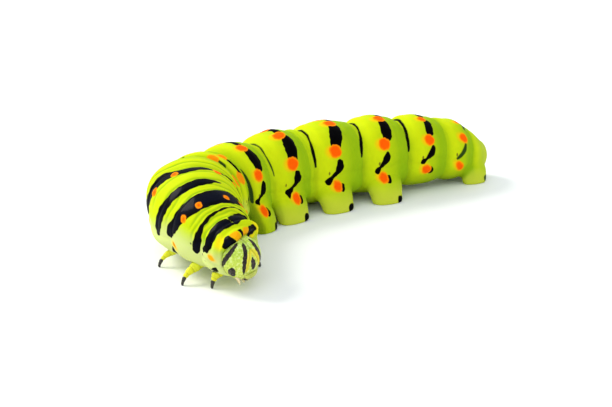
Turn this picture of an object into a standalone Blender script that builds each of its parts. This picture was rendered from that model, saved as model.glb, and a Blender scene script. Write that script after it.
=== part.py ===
"""A full-grown swallowtail larva, life size, walking on a flat floor with its head end turned to its left.

The body is one row of rings along a spine that bends in the floor's plane. Every ring is a node of its own,
cut flat from its neighbours, and so are the head, the mouthparts, the antennae and each leg.
Units are metres, +Z is up and the feet stand on z = 0. +X runs along the hind body towards the tail.
"""

import math

import bmesh
import bpy
from mathutils import Matrix, Vector

MM = 0.001
GAP = 0.3 * MM

# Driving dimensions of the spine, from the neck back to the tail.
NECK_PLACE = (-13.727 * MM, -8.635 * MM)
NECK_HEADING = 108
NECK_HALF_WIDTH = 1.78 * MM
NECK_HEIGHT = 2.20 * MM

# Each body ring: name, length, turn of the spine in degrees, then half width and axis height at its rear edge.
RINGS = (
    ("thorax_1", 1.75 * MM, -10, 2.25 * MM, 2.52 * MM),
    ("thorax_2", 2.89 * MM, -6, 3.00 * MM, 2.98 * MM),
    ("thorax_3", 3.37 * MM, -18, 3.52 * MM, 3.20 * MM),
    ("abdomen_1", 2.97 * MM, -24, 3.52 * MM, 3.12 * MM),
    ("abdomen_2", 2.82 * MM, -20, 3.43 * MM, 3.04 * MM),
    ("abdomen_3", 3.28 * MM, -13, 3.38 * MM, 3.12 * MM),
    ("abdomen_4", 4.62 * MM, -9, 3.36 * MM, 3.40 * MM),
    ("abdomen_5", 5.69 * MM, -7, 3.30 * MM, 3.57 * MM),
    ("abdomen_6", 4.99 * MM, -4, 3.12 * MM, 3.60 * MM),
    ("abdomen_7", 4.14 * MM, 0, 2.86 * MM, 3.48 * MM),
    ("abdomen_8", 3.14 * MM, 3, 2.33 * MM, 2.96 * MM),
    ("anal_segment", 1.95 * MM, 3, 1.60 * MM, 2.20 * MM),
)
LEG_RINGS = ("thorax_1", "thorax_2", "thorax_3")
PROLEG_RINGS = ("abdomen_3", "abdomen_4", "abdomen_5", "abdomen_6")

# Cross-section of a ring: round above, fuller below, down to a belly that stays clear of the floor.
BELLY_CLEARANCE = {"thorax_1": 0.85 * MM, "thorax_2": 0.80 * MM, "thorax_3": 0.60 * MM, "anal_segment": 0.70 * MM}
BELLY_CLEARANCE_ELSEWHERE = 0.35 * MM
BELLY_FULLNESS = 2.6
FOLD_PINCH = 0.105
AROUND = 36
STATIONS = 8

# Head capsule.
HEAD_HALF_WIDTH = 1.43 * MM
HEAD_HALF_HEIGHT = 1.50 * MM
HEAD_HALF_DEPTH = 1.20 * MM
HEAD_PLACE = (-0.52 * MM, 0.35 * MM, 2.38 * MM)
HEAD_TURN = 3
HEAD_NOD = 4
HEAD_ROLL = -6
HEAD_CLEFT = 0.09
EYE_RADIUS = 0.10 * MM

# Fleshy prolegs under the third to sixth abdominal rings, and the pair of claspers under the last one.
PROLEG_FOOT_OUT = 3.60 * MM
PROLEG_ROOT_OUT = 2.15 * MM
PROLEG_FOOT_RADIUS = 0.84 * MM
PROLEG_ROOT_SPREAD = 1.28 * MM
CLASPER_FOOT_OUT = 1.85 * MM
CLASPER_ROOT_OUT = 1.10 * MM

SKIN_GREEN = (0.50, 0.72, 0.06, 1)
HEAD_GREEN = (0.55, 0.70, 0.16, 1)
LEG_YELLOW = (0.72, 0.72, 0.12, 1)
HORN_BLACK = (0.02, 0.018, 0.015, 1)
ANTENNA_CREAM = (0.85, 0.78, 0.50, 1)


def start_clean():
    """Removes what the scene already holds."""
    for old in list(bpy.data.objects):
        bpy.data.objects.remove(old, do_unlink=True)


def material(name, colour, roughness):
    """A Principled material of one colour."""
    made = bpy.data.materials.new(name)
    made.use_nodes = True
    shader = made.node_tree.nodes["Principled BSDF"]
    shader.inputs["Base Color"].default_value = colour
    shader.inputs["Roughness"].default_value = roughness
    shader.inputs["Metallic"].default_value = 0.0
    return made


def ring_edges():
    """Place, heading, half width and height of the spine at the neck and at the rear edge of each ring."""
    edges = [(Vector(NECK_PLACE), math.radians(NECK_HEADING), NECK_HALF_WIDTH, NECK_HEIGHT)]
    for _, length, turn, half_width, height in RINGS:
        place, heading, _, _ = edges[-1]
        end = place + arc(heading, math.radians(turn), length)
        edges.append((end, heading + math.radians(turn), half_width, height))
    return edges


def arc(heading, turn, length):
    """How far the spine gets along an arc of that length that turns evenly."""
    if abs(turn) < 1e-6:
        return Vector((math.cos(heading), math.sin(heading))) * length
    radius = length / turn
    across = math.sin(heading + turn) - math.sin(heading)
    along = math.cos(heading) - math.cos(heading + turn)
    return Vector((across, along)) * radius


EDGES = ring_edges()


def eased(low, high, share):
    """A value between two ring edges."""
    return low + (high - low) * share


def spine_at(index, share):
    """Place, heading, half width and axis height at a share of ring number index, without its fold."""
    _, length, turn, _, _ = RINGS[index]
    place, heading, half_width, height = EDGES[index]
    turned = math.radians(turn) * share
    here = place + arc(heading, turned, length * share)
    return (
        here,
        heading + turned,
        eased(half_width, EDGES[index + 1][2], share),
        eased(height, EDGES[index + 1][3], share),
    )


def clearance_at(index, share):
    """Height of the belly over the floor, carried evenly from ring to ring."""
    mid = [BELLY_CLEARANCE.get(ring[0], BELLY_CLEARANCE_ELSEWHERE) for ring in RINGS]
    other = index + (1 if share > 0.5 else -1)
    other = min(max(other, 0), len(RINGS) - 1)
    return eased(mid[index], mid[other], abs(share - 0.5))


def section_point(angle, radius, depth):
    """Outline of a ring: angle 0 is the back's midline, positive on the larva's left."""
    across = math.sin(angle)
    up = math.cos(angle)
    if up < 0:
        across = math.copysign((1 - abs(up) ** BELLY_FULLNESS) ** (1 / BELLY_FULLNESS), across)
        return radius * across, depth * up
    return radius * across, radius * up


def body_point(index, share, angle, grow=0.0):
    """A point of the body's surface, pushed out by grow."""
    place, heading, half_width, height = spine_at(index, share)
    bulge = 1 - FOLD_PINCH * (1 - math.sin(math.pi * share) ** 0.7)
    depth = (height - clearance_at(index, share)) * bulge + grow
    across, up = section_point(angle, half_width * bulge + grow, depth)
    left = Vector((math.sin(heading), -math.cos(heading)))
    flat = place + left * across
    return Vector((flat.x, flat.y, height + up))


def lofted(name, loops, colour):
    """A closed object through loops of points of equal number, with a flat cap at each end."""
    mesh = bmesh.new()
    rows = [[mesh.verts.new(point) for point in loop] for loop in loops]
    count = len(rows[0])
    for near, far in zip(rows, rows[1:]):
        for k in range(count):
            after = (k + 1) % count
            mesh.faces.new((near[k], near[after], far[after], far[k]))
    mesh.faces.new(list(reversed(rows[0])))
    mesh.faces.new(rows[-1])
    bmesh.ops.recalc_face_normals(mesh, faces=mesh.faces)
    return finished(name, mesh, colour)


def finished(name, mesh, colour):
    """Turns a bmesh into a smooth-shaded object with its material."""
    data = bpy.data.meshes.new(name)
    mesh.to_mesh(data)
    mesh.free()
    data.shade_smooth()
    made = bpy.data.objects.new(name, data)
    bpy.context.scene.collection.objects.link(made)
    made.data.materials.append(colour)
    return made


def body_ring(index, colour):
    """One ring of the body, stopped half a gap short of each neighbour."""
    name, length = RINGS[index][:2]
    front = GAP / 2 / length
    if index == 0:
        front = 0.0
    rear = 1 - GAP / 2 / length
    loops = []
    for k in range(STATIONS):
        share = front + (rear - front) * k / (STATIONS - 1)
        angles = [2 * math.pi * n / AROUND for n in range(AROUND)]
        loops.append([body_point(index, share, angle) for angle in angles])
    if index == len(RINGS) - 1:
        loops += tail_cap(loops[-1])
    return lofted(name, loops, colour)


def tail_cap(last):
    """Shrinking loops that round the last ring off behind."""
    heading = EDGES[-1][1]
    back = Vector((math.cos(heading), math.sin(heading), 0))
    centre = sum(last, Vector()) / len(last)
    made = []
    for slope in (25, 50, 70):
        shrink = math.cos(math.radians(slope))
        reach = 0.9 * MM * math.sin(math.radians(slope))
        made.append([centre + (point - centre) * shrink + back * reach for point in last])
    return made


def body_clearance():
    """The whole body a gap larger all round, used to cut what grows from it."""
    loops = []
    for index in range(len(RINGS)):
        steps = 6
        for k in range(steps):
            angles = [2 * math.pi * n / AROUND for n in range(AROUND)]
            loops.append([body_point(index, k / steps, angle, GAP) for angle in angles])
    loops.append([body_point(len(RINGS) - 1, 1, 2 * math.pi * n / AROUND, GAP) for n in range(AROUND)])
    loops += tail_cap(loops[-1])
    heading = EDGES[0][1]
    ahead = Vector((-math.cos(heading), -math.sin(heading), 0)) * GAP
    loops.insert(0, [point + ahead for point in loops[0]])
    return lofted("body_clearance", loops, material("clearance", SKIN_GREEN, 1))


def cut_by(made, cutter):
    """Cuts a piece back from a cutter and keeps its largest closed surface."""
    cut = made.modifiers.new("cut", "BOOLEAN")
    cut.operation = "DIFFERENCE"
    cut.object = cutter
    apply_modifiers(made)
    keep_largest(made)


def apply_modifiers(made):
    """Replaces a piece's mesh by the one its modifiers give."""
    graph = bpy.context.evaluated_depsgraph_get()
    mesh = bpy.data.meshes.new_from_object(made.evaluated_get(graph))
    made.modifiers.clear()
    made.data = mesh


def keep_largest(made):
    """Drops every loose surface of a piece but the largest one."""
    mesh = bmesh.new()
    mesh.from_mesh(made.data)
    left = set(mesh.verts)
    groups = []
    while left:
        edge_of = [left.pop()]
        group = set(edge_of)
        while edge_of:
            for edge in edge_of.pop().link_edges:
                for vert in edge.verts:
                    if vert in left:
                        left.discard(vert)
                        group.add(vert)
                        edge_of.append(vert)
        groups.append(group)
    largest = max(groups, key=len)
    loose = [vert for group in groups if group is not largest for vert in group]
    bmesh.ops.delete(mesh, geom=loose, context="VERTS")
    mesh.to_mesh(made.data)
    mesh.free()


def joined(made, others):
    """Fuses pieces into made by one union on a collection."""
    group = bpy.data.collections.new("fused")
    for other in others:
        group.objects.link(other)
    fuse = made.modifiers.new("fuse", "BOOLEAN")
    fuse.operation = "UNION"
    fuse.operand_type = "COLLECTION"
    fuse.collection = group
    apply_modifiers(made)
    for other in others:
        bpy.data.objects.remove(other, do_unlink=True)
    bpy.data.collections.remove(group)
    keep_largest(made)


def tube(name, centres, radii, colour, sides=12, squash=None):
    """A tapered limb through centres, with level loops where it stands and square ones elsewhere."""
    loops = []
    for k, centre in enumerate(centres):
        before = centres[max(k - 1, 0)]
        after = centres[min(k + 1, len(centres) - 1)]
        along = (after - before).normalized()
        if k == len(centres) - 1:
            along = Vector((0, 0, -1))
        side = along.cross(Vector((0.13, 0.31, 0.94))).normalized()
        rise = side.cross(along)
        wide, deep = radii[k] if isinstance(radii[k], tuple) else (radii[k], radii[k])
        if squash is not None:
            side, rise = squash
            side = (side - along * side.dot(along)).normalized()
            rise = along.cross(side)
        loop = []
        for n in range(sides):
            angle = 2 * math.pi * n / sides
            loop.append(centre + side * wide * math.cos(angle) + rise * deep * math.sin(angle))
        loops.append(loop)
    return lofted(name, loops, colour)


def beside(index, share, out, height):
    """A point at a distance out from the spine, positive on the larva's left, at a height over the floor."""
    place, heading, _, _ = spine_at(index, share)
    left = Vector((math.sin(heading), -math.cos(heading)))
    flat = place + left * out
    return Vector((flat.x, flat.y, height))


def ring_number(name):
    """The place of a ring in RINGS."""
    return [ring[0] for ring in RINGS].index(name)


def head_frame():
    """The matrix that carries the head from its own axes, facing -Y, to its place in front of the neck."""
    place, heading, _, _ = EDGES[0]
    turn = heading - math.pi / 2 + math.radians(HEAD_TURN)
    neck = Matrix.Translation((place.x, place.y, 0)) @ Matrix.Rotation(heading - math.pi / 2, 4, "Z")
    seat = Matrix.Translation((HEAD_PLACE[0], -HEAD_PLACE[1], HEAD_PLACE[2]))
    own = Matrix.Rotation(turn - (heading - math.pi / 2), 4, "Z") @ Matrix.Rotation(math.radians(HEAD_NOD), 4, "X")
    return neck @ seat @ own @ Matrix.Rotation(math.radians(HEAD_ROLL), 4, "Y")


def head_point(azimuth, slope, grow=0.0):
    """A point of the head capsule in its own axes: azimuth 0 is the middle of the face, slope 0 its widest level."""
    side = math.cos(slope) * math.sin(azimuth)
    front = math.cos(slope) * math.cos(azimuth)
    up = math.sin(slope)
    cleft = HEAD_CLEFT * math.exp(-((side / 0.16) ** 2)) * max(0.0, up) ** 0.7
    flat_face = 0.10 * max(0.0, front) ** 2 * (1 - 0.5 * abs(side))
    narrowing = 1 - 0.16 * max(0.0, -up) ** 1.5
    scale = 1 - cleft
    return Vector(
        (
            (HEAD_HALF_WIDTH * scale * narrowing + grow) * side,
            -(HEAD_HALF_DEPTH * scale * (1 - flat_face) + grow) * front,
            (HEAD_HALF_HEIGHT * scale + grow) * up,
        )
    )


def ball(name, at, colour, columns, rows):
    """A closed ball-like object: at(azimuth, slope) gives its surface."""
    mesh = bmesh.new()
    top = mesh.verts.new(at(0.0, math.pi / 2))
    low = mesh.verts.new(at(0.0, -math.pi / 2))
    grid = []
    for row in range(1, rows):
        slope = math.pi / 2 - math.pi * row / rows
        grid.append([mesh.verts.new(at(2 * math.pi * n / columns, slope)) for n in range(columns)])
    for n in range(columns):
        after = (n + 1) % columns
        mesh.faces.new((top, grid[0][n], grid[0][after]))
        mesh.faces.new((low, grid[-1][after], grid[-1][n]))
        for near, far in zip(grid, grid[1:]):
            mesh.faces.new((near[n], far[n], far[after], near[after]))
    bmesh.ops.recalc_face_normals(mesh, faces=mesh.faces)
    return finished(name, mesh, colour)


def plain_ball(name, centre, radii, colour, columns=10, rows=6):
    """A small ellipsoid about centre."""

    def at(azimuth, slope):
        return centre + Vector(
            (
                radii[0] * math.cos(slope) * math.sin(azimuth),
                -radii[1] * math.cos(slope) * math.cos(azimuth),
                radii[2] * math.sin(slope),
            )
        )

    return ball(name, at, colour, columns, rows)


def eye_spots():
    """Azimuth and slope, in degrees, of the six simple eyes of one cheek: five in an arc and one below."""
    arc_of_five = [(60 + 9 * math.sin(math.radians(36 * k)), -14 - 7 * k) for k in range(5)]
    return arc_of_five + [(51, -31)]


def head(colour):
    """The head capsule with its two lobes and the six small eyes of each cheek."""
    made = ball("head", head_point, colour, 32, 18)
    eyes = []
    for side in (-1, 1):
        for azimuth, slope in eye_spots():
            seat = head_point(side * math.radians(azimuth), math.radians(slope), -0.02 * MM)
            eyes.append(plain_ball("eye", seat, (EYE_RADIUS,) * 3, colour, 6, 4))
    joined(made, eyes)
    made.data.transform(head_frame())
    return made


def mouthparts(colour):
    """Upper lip and jaws under the face, one solid cut back from the head."""
    centre = Vector((0, -0.72 * MM, -1.20 * MM))
    made = plain_ball("mouthparts", centre, (0.62 * MM, 0.54 * MM, 0.46 * MM), colour, 16, 8)
    clear = ball("head_clearance", lambda a, s: head_point(a, s, GAP), colour, 32, 18)
    cut_by(made, clear)
    bpy.data.objects.remove(clear, do_unlink=True)
    made.data.transform(head_frame())
    return made


def antenna(side, colour):
    """A short cone-shaped antenna between the jaws and the eyes: the left one, mirrored for the right."""
    root = Vector((0.70 * MM, -0.50 * MM, -1.00 * MM))
    tip = root + Vector((0.10 * MM, -0.36 * MM, -0.74 * MM))
    name = "antenna_left" if side > 0 else "antenna_right"
    made = tube(name, [root, root.lerp(tip, 0.55), tip], [0.27 * MM, 0.25 * MM, 0.12 * MM], colour, 10)
    clear = ball("head_clearance", lambda a, s: head_point(a, s, GAP), colour, 32, 18)
    cut_by(made, clear)
    bpy.data.objects.remove(clear, do_unlink=True)
    if side < 0:
        made.data.transform(Matrix.Scale(-1, 4, (1, 0, 0)))
        made.data.flip_normals()
    made.data.transform(head_frame())
    return made


def true_leg(ring, side, colour, clearance):
    """A jointed thoracic leg: stout at the root, bent at the knee, and ending in a claw that stands on the floor."""
    index = ring_number(ring)
    reach = {"thorax_1": 1.66 * MM, "thorax_2": 3.00 * MM, "thorax_3": 3.15 * MM}[ring]
    root_out = {"thorax_1": 0.70 * MM, "thorax_2": 1.30 * MM, "thorax_3": 1.50 * MM}[ring]
    share = {"thorax_1": 0.74, "thorax_2": 0.40, "thorax_3": 0.42}[ring]
    ahead = {"thorax_1": -0.05, "thorax_2": -0.10, "thorax_3": -0.04}[ring]
    centres = [
        beside(index, share, side * root_out, 1.45 * MM),
        beside(index, share + ahead * 0.2, side * eased(root_out, reach, 0.40), 0.98 * MM),
        beside(index, share + ahead * 0.5, side * eased(root_out, reach, 0.72), 0.78 * MM),
        beside(index, share + ahead * 0.8, side * eased(root_out, reach, 0.92), 0.46 * MM),
        beside(index, share + ahead, side * reach, 0.0),
    ]
    radii = [0.68 * MM, 0.52 * MM, 0.37 * MM, 0.27 * MM, 0.20 * MM]
    name = "leg_" + {"thorax_1": "front", "thorax_2": "middle", "thorax_3": "hind"}[ring]
    made = tube(name + ("_left" if side > 0 else "_right"), centres, radii, colour)
    cut_by(made, clearance)
    return made


def proleg(ring, side, colour, clearance):
    """A fleshy proleg: broad where it leaves the body, waisted, with a round sole."""
    index = ring_number(ring)
    length = RINGS[index][1]
    spread = min(PROLEG_ROOT_SPREAD * 1.35, length * 0.36)
    outs = [PROLEG_ROOT_OUT, 2.75 * MM, 3.30 * MM, PROLEG_FOOT_OUT, PROLEG_FOOT_OUT]
    heights = [2.2 * MM, 1.45 * MM, 0.85 * MM, 0.32 * MM, 0.0]
    longs = [spread, spread * 0.95, spread * 0.76, spread * 0.66, spread * 0.60]
    wides = [PROLEG_ROOT_SPREAD, 1.12 * MM, 0.90 * MM, PROLEG_FOOT_RADIUS, PROLEG_FOOT_RADIUS * 0.9]
    return fleshy_leg("proleg_" + ring[-1], index, 0.56, side, outs, heights, longs, wides, colour, clearance)


def clasper(side, colour, clearance):
    """One of the last pair of prolegs, under the tail."""
    index = len(RINGS) - 1
    outs = [CLASPER_ROOT_OUT, 1.45 * MM, 1.65 * MM, CLASPER_FOOT_OUT, CLASPER_FOOT_OUT]
    heights = [1.9 * MM, 1.25 * MM, 0.75 * MM, 0.30 * MM, 0.0]
    longs = [1.20 * MM, 1.15 * MM, 1.0 * MM, 0.88 * MM, 0.78 * MM]
    wides = [0.95 * MM, 0.85 * MM, 0.72 * MM, 0.66 * MM, 0.60 * MM]
    return fleshy_leg("anal_proleg", index, 0.58, side, outs, heights, longs, wides, colour, clearance)


def fleshy_leg(name, index, share, side, outs, heights, longs, wides, colour, clearance):
    """A stump of level, oval loops that runs from inside the body down to its sole."""
    _, heading, _, _ = spine_at(index, share)
    along = Vector((math.cos(heading), math.sin(heading), 0))
    left = Vector((math.sin(heading), -math.cos(heading), 0))
    loops = []
    for out, height, long_half, wide_half in zip(outs, heights, longs, wides):
        centre = beside(index, share, side * out, height)
        loop = []
        for n in range(18):
            angle = 2 * math.pi * n / 18
            loop.append(centre + along * long_half * math.cos(angle) + left * wide_half * math.sin(angle))
        loops.append(loop)
    made = lofted(name + ("_left" if side > 0 else "_right"), loops, colour)
    cut_by(made, clearance)
    return made


def main():
    """Builds every node of the larva."""
    start_clean()
    skin = material("skin", SKIN_GREEN, 0.45)
    shell = material("head_shell", HEAD_GREEN, 0.35)
    flesh = material("leg_flesh", LEG_YELLOW, 0.5)
    horn = material("horn", HORN_BLACK, 0.3)
    cream = material("antenna", ANTENNA_CREAM, 0.5)
    for index in range(len(RINGS)):
        body_ring(index, skin)
    clearance = body_clearance()
    capsule = head(shell)
    cut_by(capsule, clearance)
    mouthparts(horn)
    for side in (-1, 1):
        antenna(side, cream)
        for ring in LEG_RINGS:
            true_leg(ring, side, flesh, clearance)
        for ring in PROLEG_RINGS:
            proleg(ring, side, skin, clearance)
        clasper(side, skin, clearance)
    bpy.data.objects.remove(clearance, do_unlink=True)


main()
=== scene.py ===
# %% [markdown]
# # A swallowtail larva, dressed over its solids
# The solids of this larva are plain rings, stumps and cones with gaps between them. This lesson lays a
# living surface over them: one skin without a seam, a head shell with its stripes, jointed legs, claws
# and mouthparts. Everything is first measured in millimetres, because that is how one thinks about an
# insect, and turned into metres only when a mesh becomes an object.

# %% Loading the fixed solids
import math

import bmesh
import bpy
import numpy as np
from mathutils import Matrix, Vector


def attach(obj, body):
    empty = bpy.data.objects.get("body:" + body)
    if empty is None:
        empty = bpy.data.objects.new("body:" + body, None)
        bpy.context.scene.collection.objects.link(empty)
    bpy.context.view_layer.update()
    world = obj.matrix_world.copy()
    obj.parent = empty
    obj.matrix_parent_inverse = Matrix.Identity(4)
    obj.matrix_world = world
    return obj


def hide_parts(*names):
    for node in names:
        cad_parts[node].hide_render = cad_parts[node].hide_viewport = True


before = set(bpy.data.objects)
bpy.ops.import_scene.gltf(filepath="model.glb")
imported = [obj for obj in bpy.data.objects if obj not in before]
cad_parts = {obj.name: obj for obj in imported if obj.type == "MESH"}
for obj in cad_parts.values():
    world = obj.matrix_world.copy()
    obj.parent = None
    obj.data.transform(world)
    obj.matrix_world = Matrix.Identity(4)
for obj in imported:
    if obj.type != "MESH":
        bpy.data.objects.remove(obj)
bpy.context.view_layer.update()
MM = 0.001


# %% [markdown]
# ## The spine
# A larva is a row of rings on a bent line. The line could be a Blender curve, but the skin, its folds and
# its markings all need to ask "which ring is this point on, and how far round the body", so the spine is
# kept as a small function. A place on it is one number: 3.5 is the middle of the fourth ring. Each ring
# has a length and a turn, so its part of the spine is an arc of a circle.

# %% Spine values
NECK = np.array((-13.727, -8.635))
NECK_HEADING = math.radians(108)
RING_NAMES = ["thorax_%d" % k for k in (1, 2, 3)] + ["abdomen_%d" % k for k in range(1, 9)] + ["anal_segment"]
RING_LENGTH = np.array((1.75, 2.89, 3.37, 2.97, 2.82, 3.28, 4.62, 5.69, 4.99, 4.14, 3.14, 1.95))
RING_TURN = np.radians((-10, -6, -18, -24, -20, -13, -9, -7, -4, 0.001, 3, 3))
EDGE_RADIUS = np.array((1.86, 2.25, 3.00, 3.52, 3.52, 3.43, 3.38, 3.36, 3.30, 3.12, 2.86, 2.33, 1.60))
EDGE_HEIGHT = np.array((2.36, 2.56, 2.98, 3.20, 3.12, 3.04, 3.12, 3.40, 3.57, 3.60, 3.48, 2.96, 2.20))
BELLY_CLEAR = np.array((0.85, 0.80, 0.60, 0.35, 0.30, 0.22, 0.15, 0.15, 0.20, 0.30, 0.30, 0.50))
BELLY_FULLNESS = 2.6
EDGE_PINCH = np.array((0.04, 0.085, 0.07, 0.07, 0.075, 0.08, 0.085, 0.085, 0.085, 0.085, 0.085, 0.09, 0.105))
RINGS = len(RING_LENGTH)


def spine_edges():
    """Place and heading of the spine at every ring edge."""
    places = [NECK]
    headings = [NECK_HEADING]
    for length, turn in zip(RING_LENGTH, RING_TURN):
        before = headings[-1]
        after = before + turn
        step = np.array((np.sin(after) - np.sin(before), np.cos(before) - np.cos(after))) * length / turn
        places.append(places[-1] + step)
        headings.append(after)
    return np.array(places), np.array(headings)


EDGE_PLACE, EDGE_HEADING = spine_edges()
EDGE_ARC = np.concatenate(((0.0,), np.cumsum(RING_LENGTH)))
print("spine length", round(float(EDGE_ARC[-1]), 2), "mm, heading at the tail",
      round(math.degrees(EDGE_HEADING[-1]), 1), "degrees")


def arc_at(station):
    """Millimetres along the spine, from the neck to each station."""
    return np.interp(station, np.arange(RINGS + 1), EDGE_ARC)


# %% Asking the spine for a place
def spine_at(station):
    """Place, heading, half width, axis height, ring number and share of the ring at each station."""
    station = np.asarray(station, float)
    ring = np.clip(np.floor(station).astype(int), 0, RINGS - 1)
    share = station - ring
    heading = EDGE_HEADING[ring]
    turned = RING_TURN[ring] * share
    bend = RING_LENGTH[ring] / RING_TURN[ring]
    x = EDGE_PLACE[ring, 0] + (np.sin(heading + turned) - np.sin(heading)) * bend
    y = EDGE_PLACE[ring, 1] + (np.cos(heading) - np.cos(heading + turned)) * bend
    radius = EDGE_RADIUS[ring] * (1 - share) + EDGE_RADIUS[ring + 1] * share
    height = EDGE_HEIGHT[ring] * (1 - share) + EDGE_HEIGHT[ring + 1] * share
    return x, y, heading + turned, radius, height, ring, share


def belly_clearance(ring, share):
    """Height of the belly above the floor."""
    other = np.clip(ring + np.where(share > 0.5, 1, -1), 0, RINGS - 1)
    return BELLY_CLEAR[ring] + (BELLY_CLEAR[other] - BELLY_CLEAR[ring]) * np.abs(share - 0.5)


def ring_swell(ring, share):
    """One in the middle of a ring, and a little less at the folds between rings."""
    inside = np.clip(share, 0, 1)
    pinch = EDGE_PINCH[ring] * (1 - inside) + EDGE_PINCH[ring + 1] * inside
    return 1 - pinch * (1 - np.maximum(np.sin(math.pi * inside), 0) ** 0.7)


def section_sizes(station):
    """Half width and belly depth of the body at each station."""
    _, _, _, radius, height, ring, share = spine_at(station)
    swell = ring_swell(ring, share)
    return radius * swell, (height - belly_clearance(ring, share)) * swell


def body_points(station, angle):
    """Points of the skin. Angle 0 is the middle of the back, positive on the larva's left, in radians."""
    x, y, heading, _, height, _, _ = spine_at(station)
    radius, depth = section_sizes(station)
    up = np.cos(angle)
    side = np.sin(angle)
    low = np.sign(side) * (1 - np.minimum(np.abs(up), 1) ** BELLY_FULLNESS) ** (1 / BELLY_FULLNESS)
    across = np.where(up >= 0, radius * side, radius * low)
    rise = np.where(up >= 0, radius * up, depth * up)
    return np.stack((x + np.sin(heading) * across, y - np.cos(heading) * across, height + rise), -1)


thickest = int(np.argmax(EDGE_RADIUS[1:]))
print("thickest ring", RING_NAMES[thickest], "half width", float(EDGE_RADIUS.max()), "mm")

# %% [markdown]
# ## Camera, floor and light
# The camera stands low and to the side of the head, as a photographer with a macro lens would. The floor
# is one large pale sheet. Light comes from a broad panel above and behind on the left, with a white
# surround, so the shadows are soft and fall towards the viewer on the right.

# %% Camera
CAMERA_PLACE = Vector((-35.283, -57.900, 22.753)) * MM
CAMERA_AIM = Vector((-1.44, 5.75, 0.0)) * MM
FOCAL_LENGTH = 51.469
SENSOR_WIDTH = 36
NEAREST_SEEN = 0.002


def aimed(made, place, aim):
    """Puts a camera or lamp at place and turns it towards aim."""
    made.location = place
    made.rotation_euler = (aim - place).to_track_quat("-Z", "Y").to_euler()
    bpy.context.scene.collection.objects.link(made)
    return made


camera_data = bpy.data.cameras.new("larva_camera")
camera_data.sensor_width = SENSOR_WIDTH
camera_data.lens = FOCAL_LENGTH
camera_data.clip_start = NEAREST_SEEN
camera_data.dof.use_dof = False
camera = aimed(bpy.data.objects.new("larva_camera", camera_data), CAMERA_PLACE, CAMERA_AIM)
bpy.context.scene.camera = camera
bpy.context.scene.view_settings.view_transform = "Standard"
print("camera", round((CAMERA_PLACE - CAMERA_AIM).length / MM, 1), "mm from its aim")

# %% Lamps and surround
KEY_PLACE = Vector((-0.62, 0.86, 0.92))
FILL_PLACE = Vector((-0.90, -0.70, 0.80))
LARVA_MIDDLE = Vector((0, 0, 0.002))
KEY_POWER = 15.0
FILL_POWER = 3.0
SURROUND_POWER = 0.98


def panel(name, place, size, power, colour):
    """A square light panel aimed at the larva."""
    data = bpy.data.lights.new(name, "AREA")
    data.shape = "SQUARE"
    data.size = size
    data.energy = power
    data.color = colour
    return aimed(bpy.data.objects.new(name, data), place, LARVA_MIDDLE)


panel("key_panel", KEY_PLACE, 0.60, KEY_POWER, (1.0, 0.97, 0.90))
panel("fill_panel", FILL_PLACE, 0.90, FILL_POWER, (0.93, 0.97, 1.0))
world = bpy.data.worlds.new("white_surround")
world.use_nodes = True
surround = world.node_tree.nodes["Background"]
surround.inputs["Color"].default_value = (0.91, 0.96, 1.0, 1)
surround.inputs["Strength"].default_value = SURROUND_POWER
bpy.context.scene.world = world

# %% [markdown]
# ## Small helpers for materials
# A material is a little network of nodes. A few short helpers keep the networks readable: one adds a node
# and fills its inputs, one mixes two colours by a mask, one turns a signed distance into a crisp mask,
# and one lets the light into soft skin.


# %% Node helpers
def new_material(name):
    """A material with a Principled shader. Returns the material, its tree and the shader."""
    made = bpy.data.materials.new(name)
    made.use_nodes = True
    tree = made.node_tree
    return made, tree, tree.nodes["Principled BSDF"]


def add(tree, kind, settings=None, **inputs):
    """Adds a node. Inputs are named with underscores for spaces and take a value or another node's output."""
    node = tree.nodes.new(kind)
    for key, value in (settings or {}).items():
        setattr(node, key, value)
    for key, value in inputs.items():
        name = key.replace("_", " ")
        socket = node.inputs[int(name[4:])] if name.startswith("slot") else node.inputs[name]
        if isinstance(value, bpy.types.NodeSocket):
            tree.links.new(value, socket)
        else:
            socket.default_value = value
    return node


def math_node(tree, operation, first, second=0.0, third=0.0, clamp=False):
    """The result socket of one sum."""
    settings = {"operation": operation, "use_clamp": clamp}
    return add(tree, "ShaderNodeMath", settings, slot0=first, slot1=second, slot2=third).outputs[0]


def blend_colours(tree, mask, first, second):
    """First colour where the mask is 0, second where it is 1."""
    node = add(tree, "ShaderNodeMix", {"data_type": "RGBA"}, slot0=mask)
    for socket, value in ((node.inputs[6], first), (node.inputs[7], second)):
        if isinstance(value, bpy.types.NodeSocket):
            tree.links.new(value, socket)
        else:
            socket.default_value = (*value, 1)
    return node.outputs[2]


def between(tree, value, low, high, out_low=0.0, out_high=1.0):
    """Smoothly maps a value from one range to another."""
    settings = {"interpolation_type": "SMOOTHSTEP"}
    node = add(tree, "ShaderNodeMapRange", settings, Value=value, From_Min=low, From_Max=high,
               To_Min=out_low, To_Max=out_high)
    return node.outputs[0]


def painted(tree, name):
    """The value that the mesh carries under that name."""
    return add(tree, "ShaderNodeAttribute", {"attribute_name": name}).outputs["Fac"]


def link(tree, source, shader, socket):
    """Feeds a shader's socket."""
    tree.links.new(source, shader.inputs[socket])


def clouds_of(tree, scale, detail, **more):
    """Soft noise over the object, from 0 to 1."""
    where = add(tree, "ShaderNodeTexCoord").outputs["Object"]
    return add(tree, "ShaderNodeTexNoise", Vector=where, Scale=scale, Detail=detail, **more).outputs["Fac"]


def roughen(tree, shader, height, strength, depth):
    """Lets a height tilt the surface. Depth is the height of its bumps in metres."""
    bump = add(tree, "ShaderNodeBump", Strength=strength, Distance=depth, Height=height)
    link(tree, bump.outputs[0], shader, "Normal")


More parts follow.
